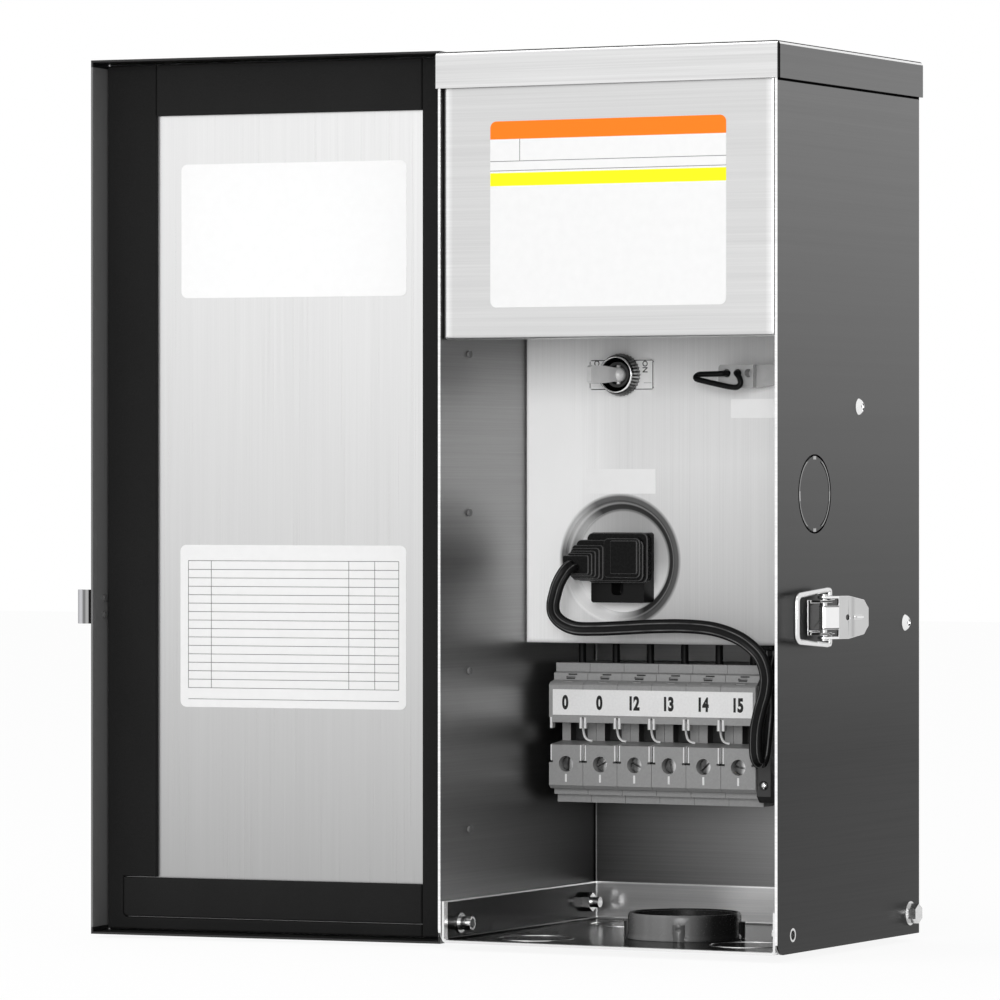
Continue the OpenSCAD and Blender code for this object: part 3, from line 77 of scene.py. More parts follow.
# Camera
# Level with the middle of the cabinet, a little to its right, with a long lens.
camera = bpy.data.objects.new("camera", bpy.data.cameras.new("camera"))
bpy.context.scene.collection.objects.link(camera)
camera.location = (1.2074, -2.6018, 0.0066)
camera.rotation_euler = (math.radians(90), 0, math.radians(27.305))
camera.data.lens = 218.2
camera.data.shift_y = -0.017
bpy.context.scene.camera = camera
bpy.context.scene.view_settings.view_transform = "Standard"


# Floor and backdrop
# A plain pale floor under the cabinet, and white all round for the camera and for what shines.
# A softbox near the camera and one overhead give the rest of the light.
class Term:
    """A socket of the tree being made. Arithmetic on it adds the Math nodes."""

    def __init__(self, tree, socket):
        self.tree = tree
        self.socket = socket

    def maths(self, operation, *others):
        return self.tree.node("ShaderNodeMath", {"operation": operation}, self, *others)

    def __add__(self, other):
        return self.maths("ADD", other)

    def __sub__(self, other):
        return self.maths("SUBTRACT", other)

    def __rsub__(self, other):
        return self.tree.node("ShaderNodeMath", {"operation": "SUBTRACT"}, other, self)

    def __mul__(self, other):
        return self.maths("MULTIPLY", other)

    def __truediv__(self, other):
        return self.maths("DIVIDE", other)

    def __gt__(self, other):
        return self.maths("GREATER_THAN", other)

    def __lt__(self, other):
        return self.maths("LESS_THAN", other)

    def __or__(self, other):
        return self.maths("MAXIMUM", other)

    __radd__ = __add__
    __rmul__ = __mul__

    def near(self, middle, half):
        """1 within half of the middle, else 0."""
        return self.maths("COMPARE", middle, half)

    def held(self):
        """The same, held between 0 and 1."""
        return self.tree.node("ShaderNodeClamp", {}, self)


class Tree:
    """A node tree with one way to add a node: its type, its settings, then its sockets."""

    def __init__(self, tree):
        self.tree = tree

    def node(self, kind, settings, *values, out=0):
        made = self.tree.nodes.new(kind)
        for key, value in settings.items():
            if key == "stops":
                ramp = made.color_ramp
                for place, _ in value[2:]:
                    ramp.elements.new(place)
                for stop, (place, tone) in zip(ramp.elements, sorted(value)):
                    stop.position = place
                    stop.color = (*tone, 1)
            else:
                setattr(made, key, value)
        for socket, value in zip(made.inputs, values):
            if isinstance(value, Term):
                self.tree.links.new(value.socket, socket)
            elif value is not None:
                socket.default_value = value
        return Term(self, made.outputs[out])


def seen_white(tree):
    """1 for the rays that should find the backdrop: the camera's, and those of gloss and glass."""
    shown = tree.node("ShaderNodeLightPath", {})
    paths = shown.socket.node.outputs
    glossy = Term(tree, paths["Is Glossy Ray"])
    through = Term(tree, paths["Is Transmission Ray"])
    return shown | glossy | through


studio = bpy.data.worlds.new("studio")
studio.use_nodes = True
bpy.context.scene.world = studio
room = Tree(studio.node_tree)
fill_level = 0.55
white = seen_white(room)
background = studio.node_tree.nodes["Background"]
background.inputs["Color"].default_value = (1, 1, 1, 1)
studio.node_tree.links.new((white * (1 - fill_level) + fill_level).socket, background.inputs["Strength"])

floor_reach = 6
floor_z = cad_low.z - 0.0015
floor_corners = [(-floor_reach, -floor_reach, floor_z), (floor_reach, -floor_reach, floor_z),
                 (floor_reach, floor_reach, floor_z), (-floor_reach, floor_reach, floor_z)]
floor_mesh = bpy.data.meshes.new("floor")
floor_mesh.from_pydata(floor_corners, [], [(0, 1, 2, 3)])
floor = bpy.data.objects.new("floor", floor_mesh)
bpy.context.scene.collection.objects.link(floor)
pale = bpy.data.materials.new("pale_floor")
pale.use_nodes = True
floor_tree = Tree(pale.node_tree)
plain = pale.node_tree.nodes["Principled BSDF"]
plain.inputs["Base Color"].default_value = (0.85, 0.85, 0.85, 1)
plain.inputs["Roughness"].default_value = 0.9
glow_share = 0.86
glow = floor_tree.node("ShaderNodeEmission", {}, (1, 1, 1, 1), 1.05)
matte = Term(floor_tree, plain.outputs[0])
both = floor_tree.node("ShaderNodeMixShader", {}, seen_white(floor_tree) * glow_share, matte, glow)
pale.node_tree.links.new(both.socket, pale.node_tree.nodes["Material Output"].inputs[0])
floor_mesh.materials.append(pale)


def softbox(name, place, width, watts):
    """A square softbox that faces the middle of the cabinet."""
    lamp = bpy.data.objects.new(name, bpy.data.lights.new(name, "AREA"))
    bpy.context.scene.collection.objects.link(lamp)
    lamp.location = place
    lamp.rotation_euler = (-Vector(place)).to_track_quat("-Z", "Y").to_euler()
    lamp.data.size = width
    lamp.data.energy = watts


softbox("key_softbox", (0.9, -2.9, 0.5), 1.1, 37)
softbox("top_softbox", (-0.6, -1.2, 2.6), 1.2, 10)


# Plug cord
# A flat two-wire cord with a groove down its middle, black and slightly glossy, with a painted
# highlight along the ridge of each wire. It comes out of its relief under the shelf, loops down
# beside the terminals and up across to the plug.
class Finish(Tree):
    """A material with one Principled shader, written from its colour and gloss."""

    def __init__(self, name, roughness, metallic=0.0, **uniform):
        self.material = bpy.data.materials.new(name)
        self.material.use_nodes = True
        super().__init__(self.material.node_tree)
        self.shader = self.tree.nodes["Principled BSDF"]
        self.give("Roughness", roughness)
        self.give("Metallic", metallic)
        for socket, value in uniform.items():
            self.give(socket.replace("_", " ").title().replace("Ior", "IOR"), value)
        self.place = self.node("ShaderNodeTexCoord", {}, out=3)

    def give(self, socket, value):
        if isinstance(value, Term):
            self.tree.links.new(value.socket, self.shader.inputs[socket])
        elif isinstance(value, tuple):
            self.shader.inputs[socket].default_value = (*value, 1)
        else:
            self.shader.inputs[socket].default_value = value

    def axis(self, direction):
        """Distance along a direction, in metres."""
        return self.node("ShaderNodeVectorMath", {"operation": "DOT_PRODUCT"},
                         self.place, direction, out=1)

    def across(self):
        """Millimetres to the right of the cabinet's middle."""
        return self.axis((1, 0, 0)) * 1000

    def depth(self):
        """Millimetres behind the cabinet's front."""
        return self.axis((0, 1, 0)) * 1000 + 160

    def level(self):
        """Millimetres above the cabinet's lower edge."""
        return self.axis((0, 0, 1)) * 1000 + 203

    def noise(self, counts, detail=2.0):
        """Noise with that many cells a metre along x, y and z."""
        spread = self.node("ShaderNodeVectorMath", {"operation": "MULTIPLY"}, self.place, counts)
        return self.node("ShaderNodeTexNoise", {}, spread, None, 1.0, detail, 0.5)

    def blend(self, factor, dark, light):
        """A colour between two others."""
        def tint(value):
            return value if isinstance(value, Term) else (*value, 1)
        return self.node("ShaderNodeMix", {"data_type": "RGBA"}, factor, None, None, None, None, None,
                         tint(dark), tint(light), out=2)

    def bump(self, height, distance, strength=1.0):
        made = self.node("ShaderNodeBump", {}, strength, distance)
        self.tree.links.new(height.socket, made.socket.node.inputs["Height"])
        self.give("Normal", made)


def cord_jacket():
    """Black vinyl with a soft gloss and faint scuffs."""
    jacket = Finish("cord_jacket", 0.34, specular_ior_level=0.1)
    scuff = jacket.noise((900, 900, 900), 3.0)
    jacket.give("Base Color", jacket.blend(scuff, (0.004, 0.004, 0.004), (0.009, 0.009, 0.0095)))
    jacket.give("Roughness", scuff * 0.22 + 0.26)
    jacket.bump(scuff, 0.00004)
    return jacket.material


jacket_black = cord_jacket()
# The ridge of each wire is painted lighter: a painted highlight.
ridge_highlight = Finish("cord_ridge_highlight", 0.3, specular_ior_level=0.3)
ridge_highlight.give("Base Color", ridge_highlight.noise((130, 130, 130)) * 0.24 - 0.04)


def spot(x, y, z):
    """A point of the cabinet, given in millimetres from the middle of its lower front edge."""
    return Vector((x, y - 160, z - 203)) / 1000


def smooth_route(points, steps):
    """The same route with steps points a stretch, on one smooth curve through them all."""
    ends = [points[0] * 2 - points[1], *points, points[-1] * 2 - points[-2]]
    route = []
    for a, b, c, d in zip(ends, ends[1:], ends[2:], ends[3:]):
        for step in range(steps):
            t = step / steps
            route.append((b * 2 + (c - a) * t + (a * 2 - b * 5 + c * 4 - d) * t * t
                          + (b * 3 - a - c * 3 + d) * t * t * t) / 2)
    return route + [points[-1]]


def piece(name, mesh, body, slot, *materials):
    """A finished piece: in the scene, on its body, with its material."""
    made = bpy.data.objects.new(name, mesh)
    bpy.context.scene.collection.objects.link(made)
    for material in materials:
        mesh.materials.append(material)
    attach(made, body)
    return made


def swept(name, route, section, facing=None, crests=()):
    """A closed tube along a route. Its section's first axis lies square to facing, if given.

    The sides of the section named as crests take the second material."""
    rings = bmesh.new()
    wide = Vector((1, 0, 0))
    last = None
    for before, here, after in zip([route[0], *route], route, [*route[1:], route[-1]]):
        along = (after - before).normalized()
        turned = along.cross(facing) if facing else wide
        if turned.length > 0.3:
            wide = turned if turned.dot(wide) > 0 else -turned
        wide = (wide - along * wide.dot(along)).normalized()
        deep = along.cross(wide)
        ring = [rings.verts.new(here + wide * a + deep * b) for a, b in section]
        if last:
            for k, point in enumerate(ring):
                side = rings.faces.new((last[k], point, ring[k - 1], last[k - 1]))
                side.material_index = 1 if k in crests else 0
        else:
            rings.faces.new(ring)
        last = ring
    rings.faces.new(last[::-1])
    bmesh.ops.recalc_face_normals(rings, faces=rings.faces)
    mesh = bpy.data.meshes.new(name)
    rings.to_mesh(mesh)
    rings.free()
    mesh.polygons.foreach_set("use_smooth", [True] * len(mesh.polygons))
    mesh.set_sharp_from_angle(angle=math.radians(50))
    return mesh


cord_route = [spot(*p) for p in (
    (34, 104, 132.3), (34, 104, 129), (35, 100.5, 124.5), (37, 95, 119.5), (38.8, 91.2, 113),
    (39.4, 89.4, 105), (38.9, 88.7, 96), (38.2, 88.3, 88), (37.7, 87.4, 83.4), (37.2, 85.4, 81.2),
    (36.6, 83.2, 83), (36.3, 82.2, 88), (37.2, 81.2, 97), (40, 79.6, 106), (43.2, 77.8, 114),
    (44.4, 76.2, 122), (42.2, 74.6, 130), (36.4, 73.2, 136), (29, 72.4, 140), (19, 71.6, 142.8),
    (6, 70.6, 143.8), (-9, 69.4, 143.6), (-24, 67.8, 142.8), (-37, 66, 142.2), (-46.6, 64, 142.4),
    (-52.6, 62, 144.8), (-56, 60.6, 148.6),
    (-56.6, 60, 153), (-55.6, 60, 158), (-54, 60.6, 163.4), (-51.6, 62.4, 168.6),
    (-50.2, 65.2, 171), (-49.8, 69, 171.6))]
strand = 0.00165
strand_apart = 0.0016
lobe = [math.radians(a) for a in range(-130, 131, 20)]
twin = ([(strand_apart + strand * math.cos(a), strand * math.sin(a)) for a in lobe]
        + [(-strand_apart - strand * math.cos(a), -strand * math.sin(a)) for a in lobe])
fine_route = smooth_route(cord_route, 6)
cord_length = sum((b - a).length for a, b in zip(fine_route, fine_route[1:]))
crests = [k for k, (a, b) in enumerate(twin) if abs(abs(a) - strand_apart) < 0.0005]
plug_cord = piece("flat_cord", swept("flat_cord", fine_route, twin, Vector((0, 1, 0)), crests),
                  "cabinet", "cord_jacket", jacket_black, ridge_highlight.material)
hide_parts("plug_cord")


# Cabinet body, roof and tray
# Three pieces folded from 1.2 mm stainless sheet with a brushed face. The side walls are brushed
# from front to back and painted dark as painted shade, the roof's front face is painted bright and
# its sides dark as painted light and shade, and the cut edges carry a painted highlight.
def brushed(name, counts, roughness=0.3, metallic=1.0, contrast=1.0):
    """Brushed stainless: a finish, and its streaks about 1, longest where counts are low."""
    steel = Finish(name, roughness, metallic)
    fine = steel.noise(counts, 3.0)
    broad = steel.noise(tuple(count / 7 for count in counts), 2.0)
    steel.give("Roughness", fine * 0.14 + (roughness - 0.07))
    steel.bump(fine, 0.00002, 0.6 * contrast)
    return steel, fine * (0.34 * contrast) + broad * (0.14 * contrast) + (1 - 0.24 * contrast)


def dress(finish, *nodes):
    """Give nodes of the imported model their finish."""
    for node in nodes:
        for place in frame["nodes"][node].material_slots:
            place.material = finish.material


cabinet_width, cabinet_depth, cabinet_height = 170, 160, 406


def height_share(finish):
    """0 at the cabinet's underside, 1 at its top."""
    return finish.level() / cabinet_height


wall_inside = 84.4
lip_edge = 388.8
knock_y, knock_z = 40.3, 204.7
slot_inner_r, slot_r, slot_outer_r = 15.6, 16.5, 17.4
grain_across = (9, 9, 1500)
wall_steel, wall_grain = brushed("wall_steel", grain_across, 0.34)
wall_steel.give("Specular IOR Level", 0.0)
wall_x, wall_y = wall_steel.across(), wall_steel.depth()
# Painted shade: the walls' outsides are painted dark, darker towards the bottom, and the insides darker
# low down and far in.
outside = wall_x.maths("ABSOLUTE") > wall_inside
outside_painted_shade = (height_share(wall_steel) * 0.21 - 0.045).held()
depth_in = (wall_y / cabinet_depth).held()
lowness = (1 - (height_share(wall_steel) - 0.04) / 0.32).held()
back_wall = wall_y > cabinet_depth - 1.4
inner_side_painted_shade = 0.33 - depth_in * lowness * 0.32
back_painted_shade = (wall_x / cabinet_width + 0.5).held() * 0.3 + 0.07
inside_painted_shade = back_wall * back_painted_shade + (1 - back_wall) * inner_side_painted_shade
# The cut edges at the front are painted bright: a painted highlight.
cut_edge_highlight = wall_y < 0.3
wall_light_and_shade = outside * outside_painted_shade + (1 - outside) * inside_painted_shade
roof_shadow = outside * wall_steel.level().near(lip_edge, 0.55)
right_wall = wall_x > wall_inside
knock_back = wall_y - knock_y
knock_up = wall_steel.level() - knock_z
knock_r = (knock_back * knock_back + knock_up * knock_up).maths("SQRT")
dark_arc = knock_r.near(slot_outer_r, 0.4) | knock_r.near(slot_inner_r, 0.3) * (knock_back > 6)
tabs = knock_r.near(slot_r - 0.2, 0.8) * (knock_back.near(0, 1.5) | knock_up.near(-1, 2.2))
# The knock-out's middle arc and tabs on the right wall are painted bright: a painted highlight.
knock_highlight = (knock_r.near(slot_r, 0.45) * knock_up.near(0, 14.5) * 0.6 | tabs) * right_wall
dark_line = dark_arc * right_wall | roof_shadow
wall_steel.give("Metallic", 1 - dark_line)
wall_light_and_shade = (wall_light_and_shade * (1 - knock_highlight) + knock_highlight * 0.42) * (1 - dark_line) + 0.004
wall_steel.give("Base Color", (wall_light_and_shade * (1 - cut_edge_highlight) + cut_edge_highlight * 0.93) * wall_grain)
dress(wall_steel, "cabinet_shell")

roof_steel, roof_grain = brushed("roof_steel", grain_across, 0.32)
# Painted light and shade: the front is painted bright and the sides dark, the top fold gets a painted
# highlight, and dark lines at the folds are painted shade.
roof_front = roof_steel.depth() < -0.3
roof_fold_highlight = roof_steel.level() > cabinet_height - 1.7
roof_corner = (roof_steel.across().maths("ABSOLUTE") > 85.6) * (roof_steel.depth() < 0.6)
roof_fold_shade = roof_steel.level().near(cabinet_height - 0.42, 0.28) | roof_corner
roof_light_and_shade = (roof_front * 0.6 + 0.15) * (1 - roof_fold_highlight) + roof_fold_highlight * 0.85
roof_steel.give("Specular IOR Level", 0.0)
roof_steel.give("Metallic", 1 - roof_fold_shade)
roof_steel.give("Base Color", roof_light_and_shade * (1 - roof_fold_shade * 0.97) * roof_grain)
dress(roof_steel, "roof_cap")

tray_steel, tray_grain = brushed("tray_steel", (9, 900, 1500), 0.2, 0.75)
# The tray's floor is painted near black as painted shade; its rim and its front and back flanges are
# painted light.
tray_rim = tray_steel.level() > 18.3
tray_back = tray_steel.depth() > cabinet_depth - 3.4
tray_front = tray_steel.depth() < 4.5
tray_light_and_shade = (tray_rim | tray_front) * 0.8 + tray_back * 0.6 + 0.02
tray_steel.give("Specular IOR Level", 0.0)
tray_steel.give("Base Color", tray_light_and_shade.held() * tray_grain)
dress(tray_steel, "floor_tray")


def ring_mesh(name, middle, radius, wire):
    """A thin ring lying flat, such as the sheared edge of a knock-out."""
    ring = bmesh.new()
    around, sides = 72, 6
    rows = []
    for i in range(around):
        a = math.tau * i / around
        out = Vector((math.cos(a), math.sin(a), 0))
        rows.append([ring.verts.new(middle + out * (radius + wire * math.cos(math.tau * k / sides))
                                    + Vector((0, 0, wire * math.sin(math.tau * k / sides))))
                     for k in range(sides)])
    for i, row in enumerate(rows):
        ahead = rows[(i + 1) % around]
        for k in range(sides):
            ring.faces.new((row[k], ahead[k], ahead[(k + 1) % sides], row[(k + 1) % sides]))
    bmesh.ops.recalc_face_normals(ring, faces=ring.faces)
    mesh = bpy.data.meshes.new(name)
    ring.to_mesh(mesh)
    ring.free()
    return mesh


# The knock-outs' sheared edges are bright rings against the dark-painted tray: a painted highlight.
knock_edge_highlight = Finish("sheared_edge_highlight", 0.25, 1.0)
knock_edge_highlight.give("Base Color", knock_edge_highlight.noise((300, 300, 300)) * 0.2 + 0.75)
floor_knocks = ((-0.59, 0.19), (0.62, 0.24), (-0.62, 0.81), (0.65, 0.81))
for k, (side_share, depth_share) in enumerate(floor_knocks):
    middle = spot(side_share * cabinet_width / 2, depth_share * cabinet_depth, 1.15)
    piece(f"knockout_edge_{k + 1}", ring_mesh("knockout_edge", middle, 0.01705, 0.0003),
          "cabinet", "tray_sheet", knock_edge_highlight.material)


# Fasteners
# Rivet nuts, hexagon bolts, pan-head screws and rivets of zinc-plated steel. They hold the tray,
# the inner panel, the rail, the hinge and the latch.
def plated(name, low, high, roughness=0.25):
    """Bright plated steel, with faint stains."""
    steel = Finish(name, roughness, 1.0)
    stain = steel.noise((420, 420, 420), 3.0)
    steel.give("Base Color", stain * (high - low) + low)
    steel.give("Roughness", stain * 0.2 + roughness - 0.08)
    return steel


def moulding(name, tone, roughness=0.4, grain=1400.0, depth=0.00003, gloss=0.5):
    """Moulded plastic or paint with a fine grain."""
    plastic = Finish(name, roughness, specular_ior_level=gloss)
    texture = plastic.noise((grain, grain, grain), 2.0)
    cloud = plastic.noise((60, 60, 60), 2.0)
    plastic.give("Base Color", texture * (0.16 * tone) + cloud * (0.1 * tone) + 0.87 * tone)
    plastic.give("Roughness", texture * 0.16 + roughness - 0.08)
    plastic.bump(texture, depth)
    return plastic


zinc = plated("zinc_plate", 0.55, 0.75, 0.2)
dress(zinc, "tray_fasteners", "din_rail", "toroid_washer", "toroid_bolt", "hinge_pin",
      "end_stop_screws", "latch_pin")
# The rivets are painted dark grey as painted shade, to sit in the painted shade of the inner wall and the
# door's rim.
dress(moulding("rivet_shaded", 0.17, 0.5, gloss=0.1), "blind_rivets")
dress(moulding("door_rivet_shaded", 0.09, 0.5, gloss=0.1), "door_rivets")
screw_bright = plated("screw_bright", 0.8, 0.9, 0.2)


def drive(y, z):
    """1 in the drive recess of the side screw at that place, which is painted dark as shade."""
    aside = (screw_bright.depth() - y).maths("ABSOLUTE") * 1.2
    above = (screw_bright.level() - z).maths("ABSOLUTE") * 0.7
    return (aside | above) < 0.8


drive_shade = drive(89.9, 244.2) | drive(142, 144.6)
screw_bright.give("Base Color", (1 - drive_shade) * 0.85 + 0.01)
dress(screw_bright, "chassis_screws")


# Cable bushing
# A black nylon collar with four screw bosses, pressed through the tray with a flange below. Its
# front carries a painted highlight, and its rounded edges take a lighter colour as painted highlight.
def softened(name, node, width, finish, slot, edges=None, swell=0.0):
    """A copy of a node with its edges rounded over, which stands for it."""
    form = bmesh.new()
    form.from_mesh(frame["nodes"][node].data)
    bmesh.ops.remove_doubles(form, verts=form.verts, dist=0.000002)
    form.normal_update()
    for point in form.verts:
        point.co += point.normal * swell
    mesh = bpy.data.meshes.new(name)
    form.to_mesh(mesh)
    form.free()
    mesh.polygons.foreach_set("use_smooth", [True] * len(mesh.polygons))
    crease = math.radians(42)
    mesh.set_sharp_from_angle(angle=crease)
    made = piece(name, mesh, frame["nodes"][node]["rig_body"], slot, finish.material)
    if width:
        rounding = made.modifiers.new("rounding", "BEVEL")
        rounding.width = width
        rounding.segments = 2
        rounding.limit_method = "ANGLE"
        rounding.angle_limit = crease
        # The bevel faces take the edges material, a lighter colour that stands as a painted highlight.
        if edges:
            made.data.materials.append(edges.material)
            rounding.material = 1
        shading = made.modifiers.new("shading", "WEIGHTED_NORMAL")
        shading.keep_sharp = False
    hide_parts(node)
    return made


collar_x = 6
collar_reach = 24
black_nylon = moulding("black_nylon", 0.02, 0.25, gloss=0.35)
# A broad band across the collar's front is painted lighter: a painted highlight.
collar_side = (black_nylon.across() - collar_x) / collar_reach
collar_front = black_nylon.depth() < 60
collar_highlight = (1 - collar_side * collar_side).held() * collar_front
black_nylon.give("Base Color", collar_highlight * black_nylon.noise((60, 60, 4)) * 0.36 + 0.012)
collar_edge_highlight = moulding("collar_edge_highlight", 0.3, 0.25)
softened("bushing_collar", "conduit_bushing", 0.0004, black_nylon, "black_moulding", collar_edge_highlight)


# Fascia
# A bright brushed plate over the transformer's space, with a fold at each side. A white card lies
# on it, with an orange band along its top, a yellow band across it and a few rules, but no words.
front_steel, front_grain = brushed("front_steel", grain_across, 0.32, contrast=0.6)
# Near each fold the plate is painted lighter, a painted highlight, and the gap to the wall past it is
# painted dark, a painted shade.
side_x = front_steel.across().maths("ABSOLUTE")
fold_highlight = ((side_x - 78.3) / 4).held()
gap_shade = side_x > 82.2
front_steel.give("Metallic", 1 - gap_shade)
front_steel.give("Specular IOR Level", 0.0)
front_steel.give("Base Color", (fold_highlight * 0.28 + 0.69) * (1 - gap_shade * 0.9) * front_grain)
dress(front_steel, "fascia_panel")


def rounded(left, right, low, high, corner):
    """The outline of an upright rectangle with round corners."""
    outline = []
    for turn, (x, z) in enumerate(((right, high), (left, high), (left, low), (right, low))):
        inward_x = corner if x == left else -corner
        inward_z = corner if z == low else -corner
        for step in range(7):
            a = math.radians(90 * turn + 15 * step)
            outline.append((x + inward_x + corner * math.cos(a), z + inward_z + corner * math.sin(a)))
    return outline


def card(name, width, height, corner, thick, shift):
    """A thin card with round corners that faces forwards, moved to its place."""
    sheet = bmesh.new()
    outline = rounded(-width / 2, width / 2, -height / 2, height / 2, corner)
    front = [sheet.verts.new((x, -thick, z)) for x, z in outline]
    back = [sheet.verts.new((x, 0, z)) for x, z in outline]
    sheet.faces.new(front)
    sheet.faces.new(back[::-1])
    for k in range(len(outline)):
        sheet.faces.new((front[k - 1], front[k], back[k], back[k - 1]))
    bmesh.ops.recalc_face_normals(sheet, faces=sheet.faces)
    mesh = bpy.data.meshes.new(name)
    sheet.to_mesh(mesh)
    sheet.free()
    mesh.transform(shift)
    return mesh


def paper(name):
    """White card stock under a matt film."""
    stock = Finish(name, 0.42, specular_ior_level=0.4)
    mottle = stock.noise((240, 240, 240), 3.0)
    stock.bump(mottle, 0.00001)
    return stock, mottle * 0.05 + 0.86


fascia_paper, fascia_white = paper("fascia_card")
card_level = fascia_paper.level()
orange = (1.0, 0.216, 0.0)
yellow = (1.0, 1.0, 0.0)
line_half = 0.16
tint = fascia_paper.blend(card_level > 365.5, fascia_white, orange)
tint = fascia_paper.blend(card_level.near(347.25, 2.95), tint, yellow)
stile = fascia_paper.across().near(-44.1, line_half) * card_level.near(360.5, 5)
rules = card_level.near(355.5, line_half) | card_level.near(351.2, line_half) | stile
fascia_paper.give("Base Color", fascia_paper.blend(rules * 0.8, tint, (0.02, 0.02, 0.02)))
card_low, card_high = 289.2, 373.7
card_thick = 0.00015
card_tall = (card_high - card_low) / 1000
on_fascia = Matrix.Translation(spot(0, 2, (card_low + card_high) / 2))
piece("fascia_card", card("fascia_card", 0.1182, card_tall, 0.003, card_thick, on_fascia),
      "cabinet", "white_card", fascia_paper.material)


# Inner panel and its shelf
# One brushed sheet, with the grain upright, folded at the bottom into the shelf above the
# terminals. A round dish is pressed into it for the outlet, and two small cards lie on it.
grain_upright = (1500, 1500, 9)
dish_at = (-34.2, 173.4)
dish_floor_r, dish_foot_r, dish_wall_r, dish_lip_r = 23.8, 25.2, 26.6, 28.8
panel_steel, panel_grain = brushed("panel_steel", grain_upright, 0.45, 0.0, 0.5)
panel_steel.give("Specular IOR Level", 0.12)
# Painted light and shade: the dish's wall and floor are painted bright to the lower left and dark above
# and to the right, and the panel is painted darker towards the bottom and lighter low down near the left
# wall.
dish_x = panel_steel.across() - dish_at[0]
dish_z = panel_steel.level() - dish_at[1]
dish_r = (dish_x * dish_x + dish_z * dish_z).maths("SQRT")
to_lower_left = (dish_x * -0.55 - dish_z * 0.83) / (dish_r + 0.01)
to_upper_left = (dish_x * -0.8 + dish_z * 0.6) / (dish_r + 0.01)
dish_wall_highlight = ((to_lower_left - 0.5) * 2.2).held() | ((to_upper_left - 0.88) * 6).held() * 0.6


def band(middle, half):
    """1 at a radius of the dish, down to 0 at half to each side."""
    return ((1 - (dish_r - middle).maths("ABSOLUTE") / half) * 1.7).held()


dish_ring_shade = (band(dish_foot_r, 2.4) | band(dish_lip_r, 2.8) * 0.9) * (1 - dish_wall_highlight)
dish_ring_highlight = band(dish_wall_r, 3.4) * (dish_wall_highlight - 0.2).held()
dish_floor_shade = (dish_r < dish_floor_r) * (dish_z / 34 + 0.2).held()
dish_floor_highlight = (dish_r < dish_floor_r) * (dish_z / -26).held()
panel_rise = height_share(panel_steel)
to_left_wall = (panel_steel.across() / -35 - 0.86).held()
panel_light_and_shade = (panel_rise * 1.6 - 0.02).maths("MINIMUM", 0.84)
panel_light_and_shade = panel_light_and_shade + to_left_wall * ((0.6 - panel_rise * 0.9).held() + 0.13)
panel_light_and_shade = panel_light_and_shade * (1 - dish_ring_shade * 0.93) * (1 - dish_floor_shade * 0.5)
panel_light_and_shade = panel_light_and_shade + dish_ring_highlight * 0.5 + dish_floor_highlight * 0.5
panel_steel.give("Base Color", (panel_grain * panel_light_and_shade).held())
dress(panel_steel, "chassis_panel")

plain_paper, plain_white = paper("small_card")
plain_paper.give("Base Color", plain_white)
# A copy of the card stock painted brighter, as painted light, for the cards on the inner panel and the
# door's upper card.
lit_paper, lit_white = paper("lit_card")
lit_paper.give("Base Color", lit_white + 0.08)
panel_face = 84.5
for name, width, height, x, z in (("outlet_card", 0.0359, 0.0114, -33.75, 210.4),
                                  ("splice_card", 0.044, 0.0087, 44.8, 243.85)):
    on_panel = Matrix.Translation(spot(x, panel_face, z))
    piece(name, card(name, width, height, 0.0003, 0.00012, on_panel), "cabinet", "white_card",
          lit_paper.material)


# Outlet and plug
# A black outlet in the dish with a two-pin plug in it. The plug is moulded on the cord with ribs
# for the fingers and a raised pad on its back.
outlet_black = moulding("outlet_black", 0.008, 0.34, gloss=0.12)
softened("outlet_face", "receptacle", 0.0003, outlet_black, "black_moulding")
plug_vinyl = moulding("plug_vinyl", 0.006, 0.27, 700.0, gloss=0.08)
# The bevel faces of the plug's steps take a lighter colour: a painted highlight on the edges.
plug_edge_highlight = moulding("plug_edge_highlight", 0.06, 0.25)


def raised(form, outline, profile, back, way):
    """A closed form on an outline, its sides going in by each inset at each height.

    What lies past the first two heights takes the second material."""
    points = [Vector(point) for point in outline]
    miters = []
    for before, here, after in zip([points[-1], *points], points, [*points[1:], points[0]]):
        ahead, behind = (after - here).normalized(), (here - before).normalized()
        sides = Vector((-ahead.y, ahead.x)), Vector((-behind.y, behind.x))
        miters.append((sides[0] + sides[1]) / (1 + sides[0].dot(sides[1])))
    rows = []
    for inset, height in profile:
        inner = [point + miter * inset for point, miter in zip(points, miters)]
        rows.append([form.verts.new((at.x, back + way * height, at.y)) for at in inner])
    for k, (under, over) in enumerate(zip(rows, rows[1:])):
        for i in range(len(points)):
            side = form.faces.new((under[i - 1], under[i], over[i], over[i - 1]))
            side.material_index = 1 if k else 0
    form.faces.new(rows[0])
    form.faces.new(rows[-1])


def from_form(name, form, shift):
    """The finished mesh of a form made in millimetres."""
    bmesh.ops.recalc_face_normals(form, faces=form.faces)
    mesh = bpy.data.meshes.new(name)
    form.to_mesh(mesh)
    form.free()
    mesh.transform(shift @ Matrix.Diagonal((0.001, 0.001, 0.001, 1)))
    return mesh


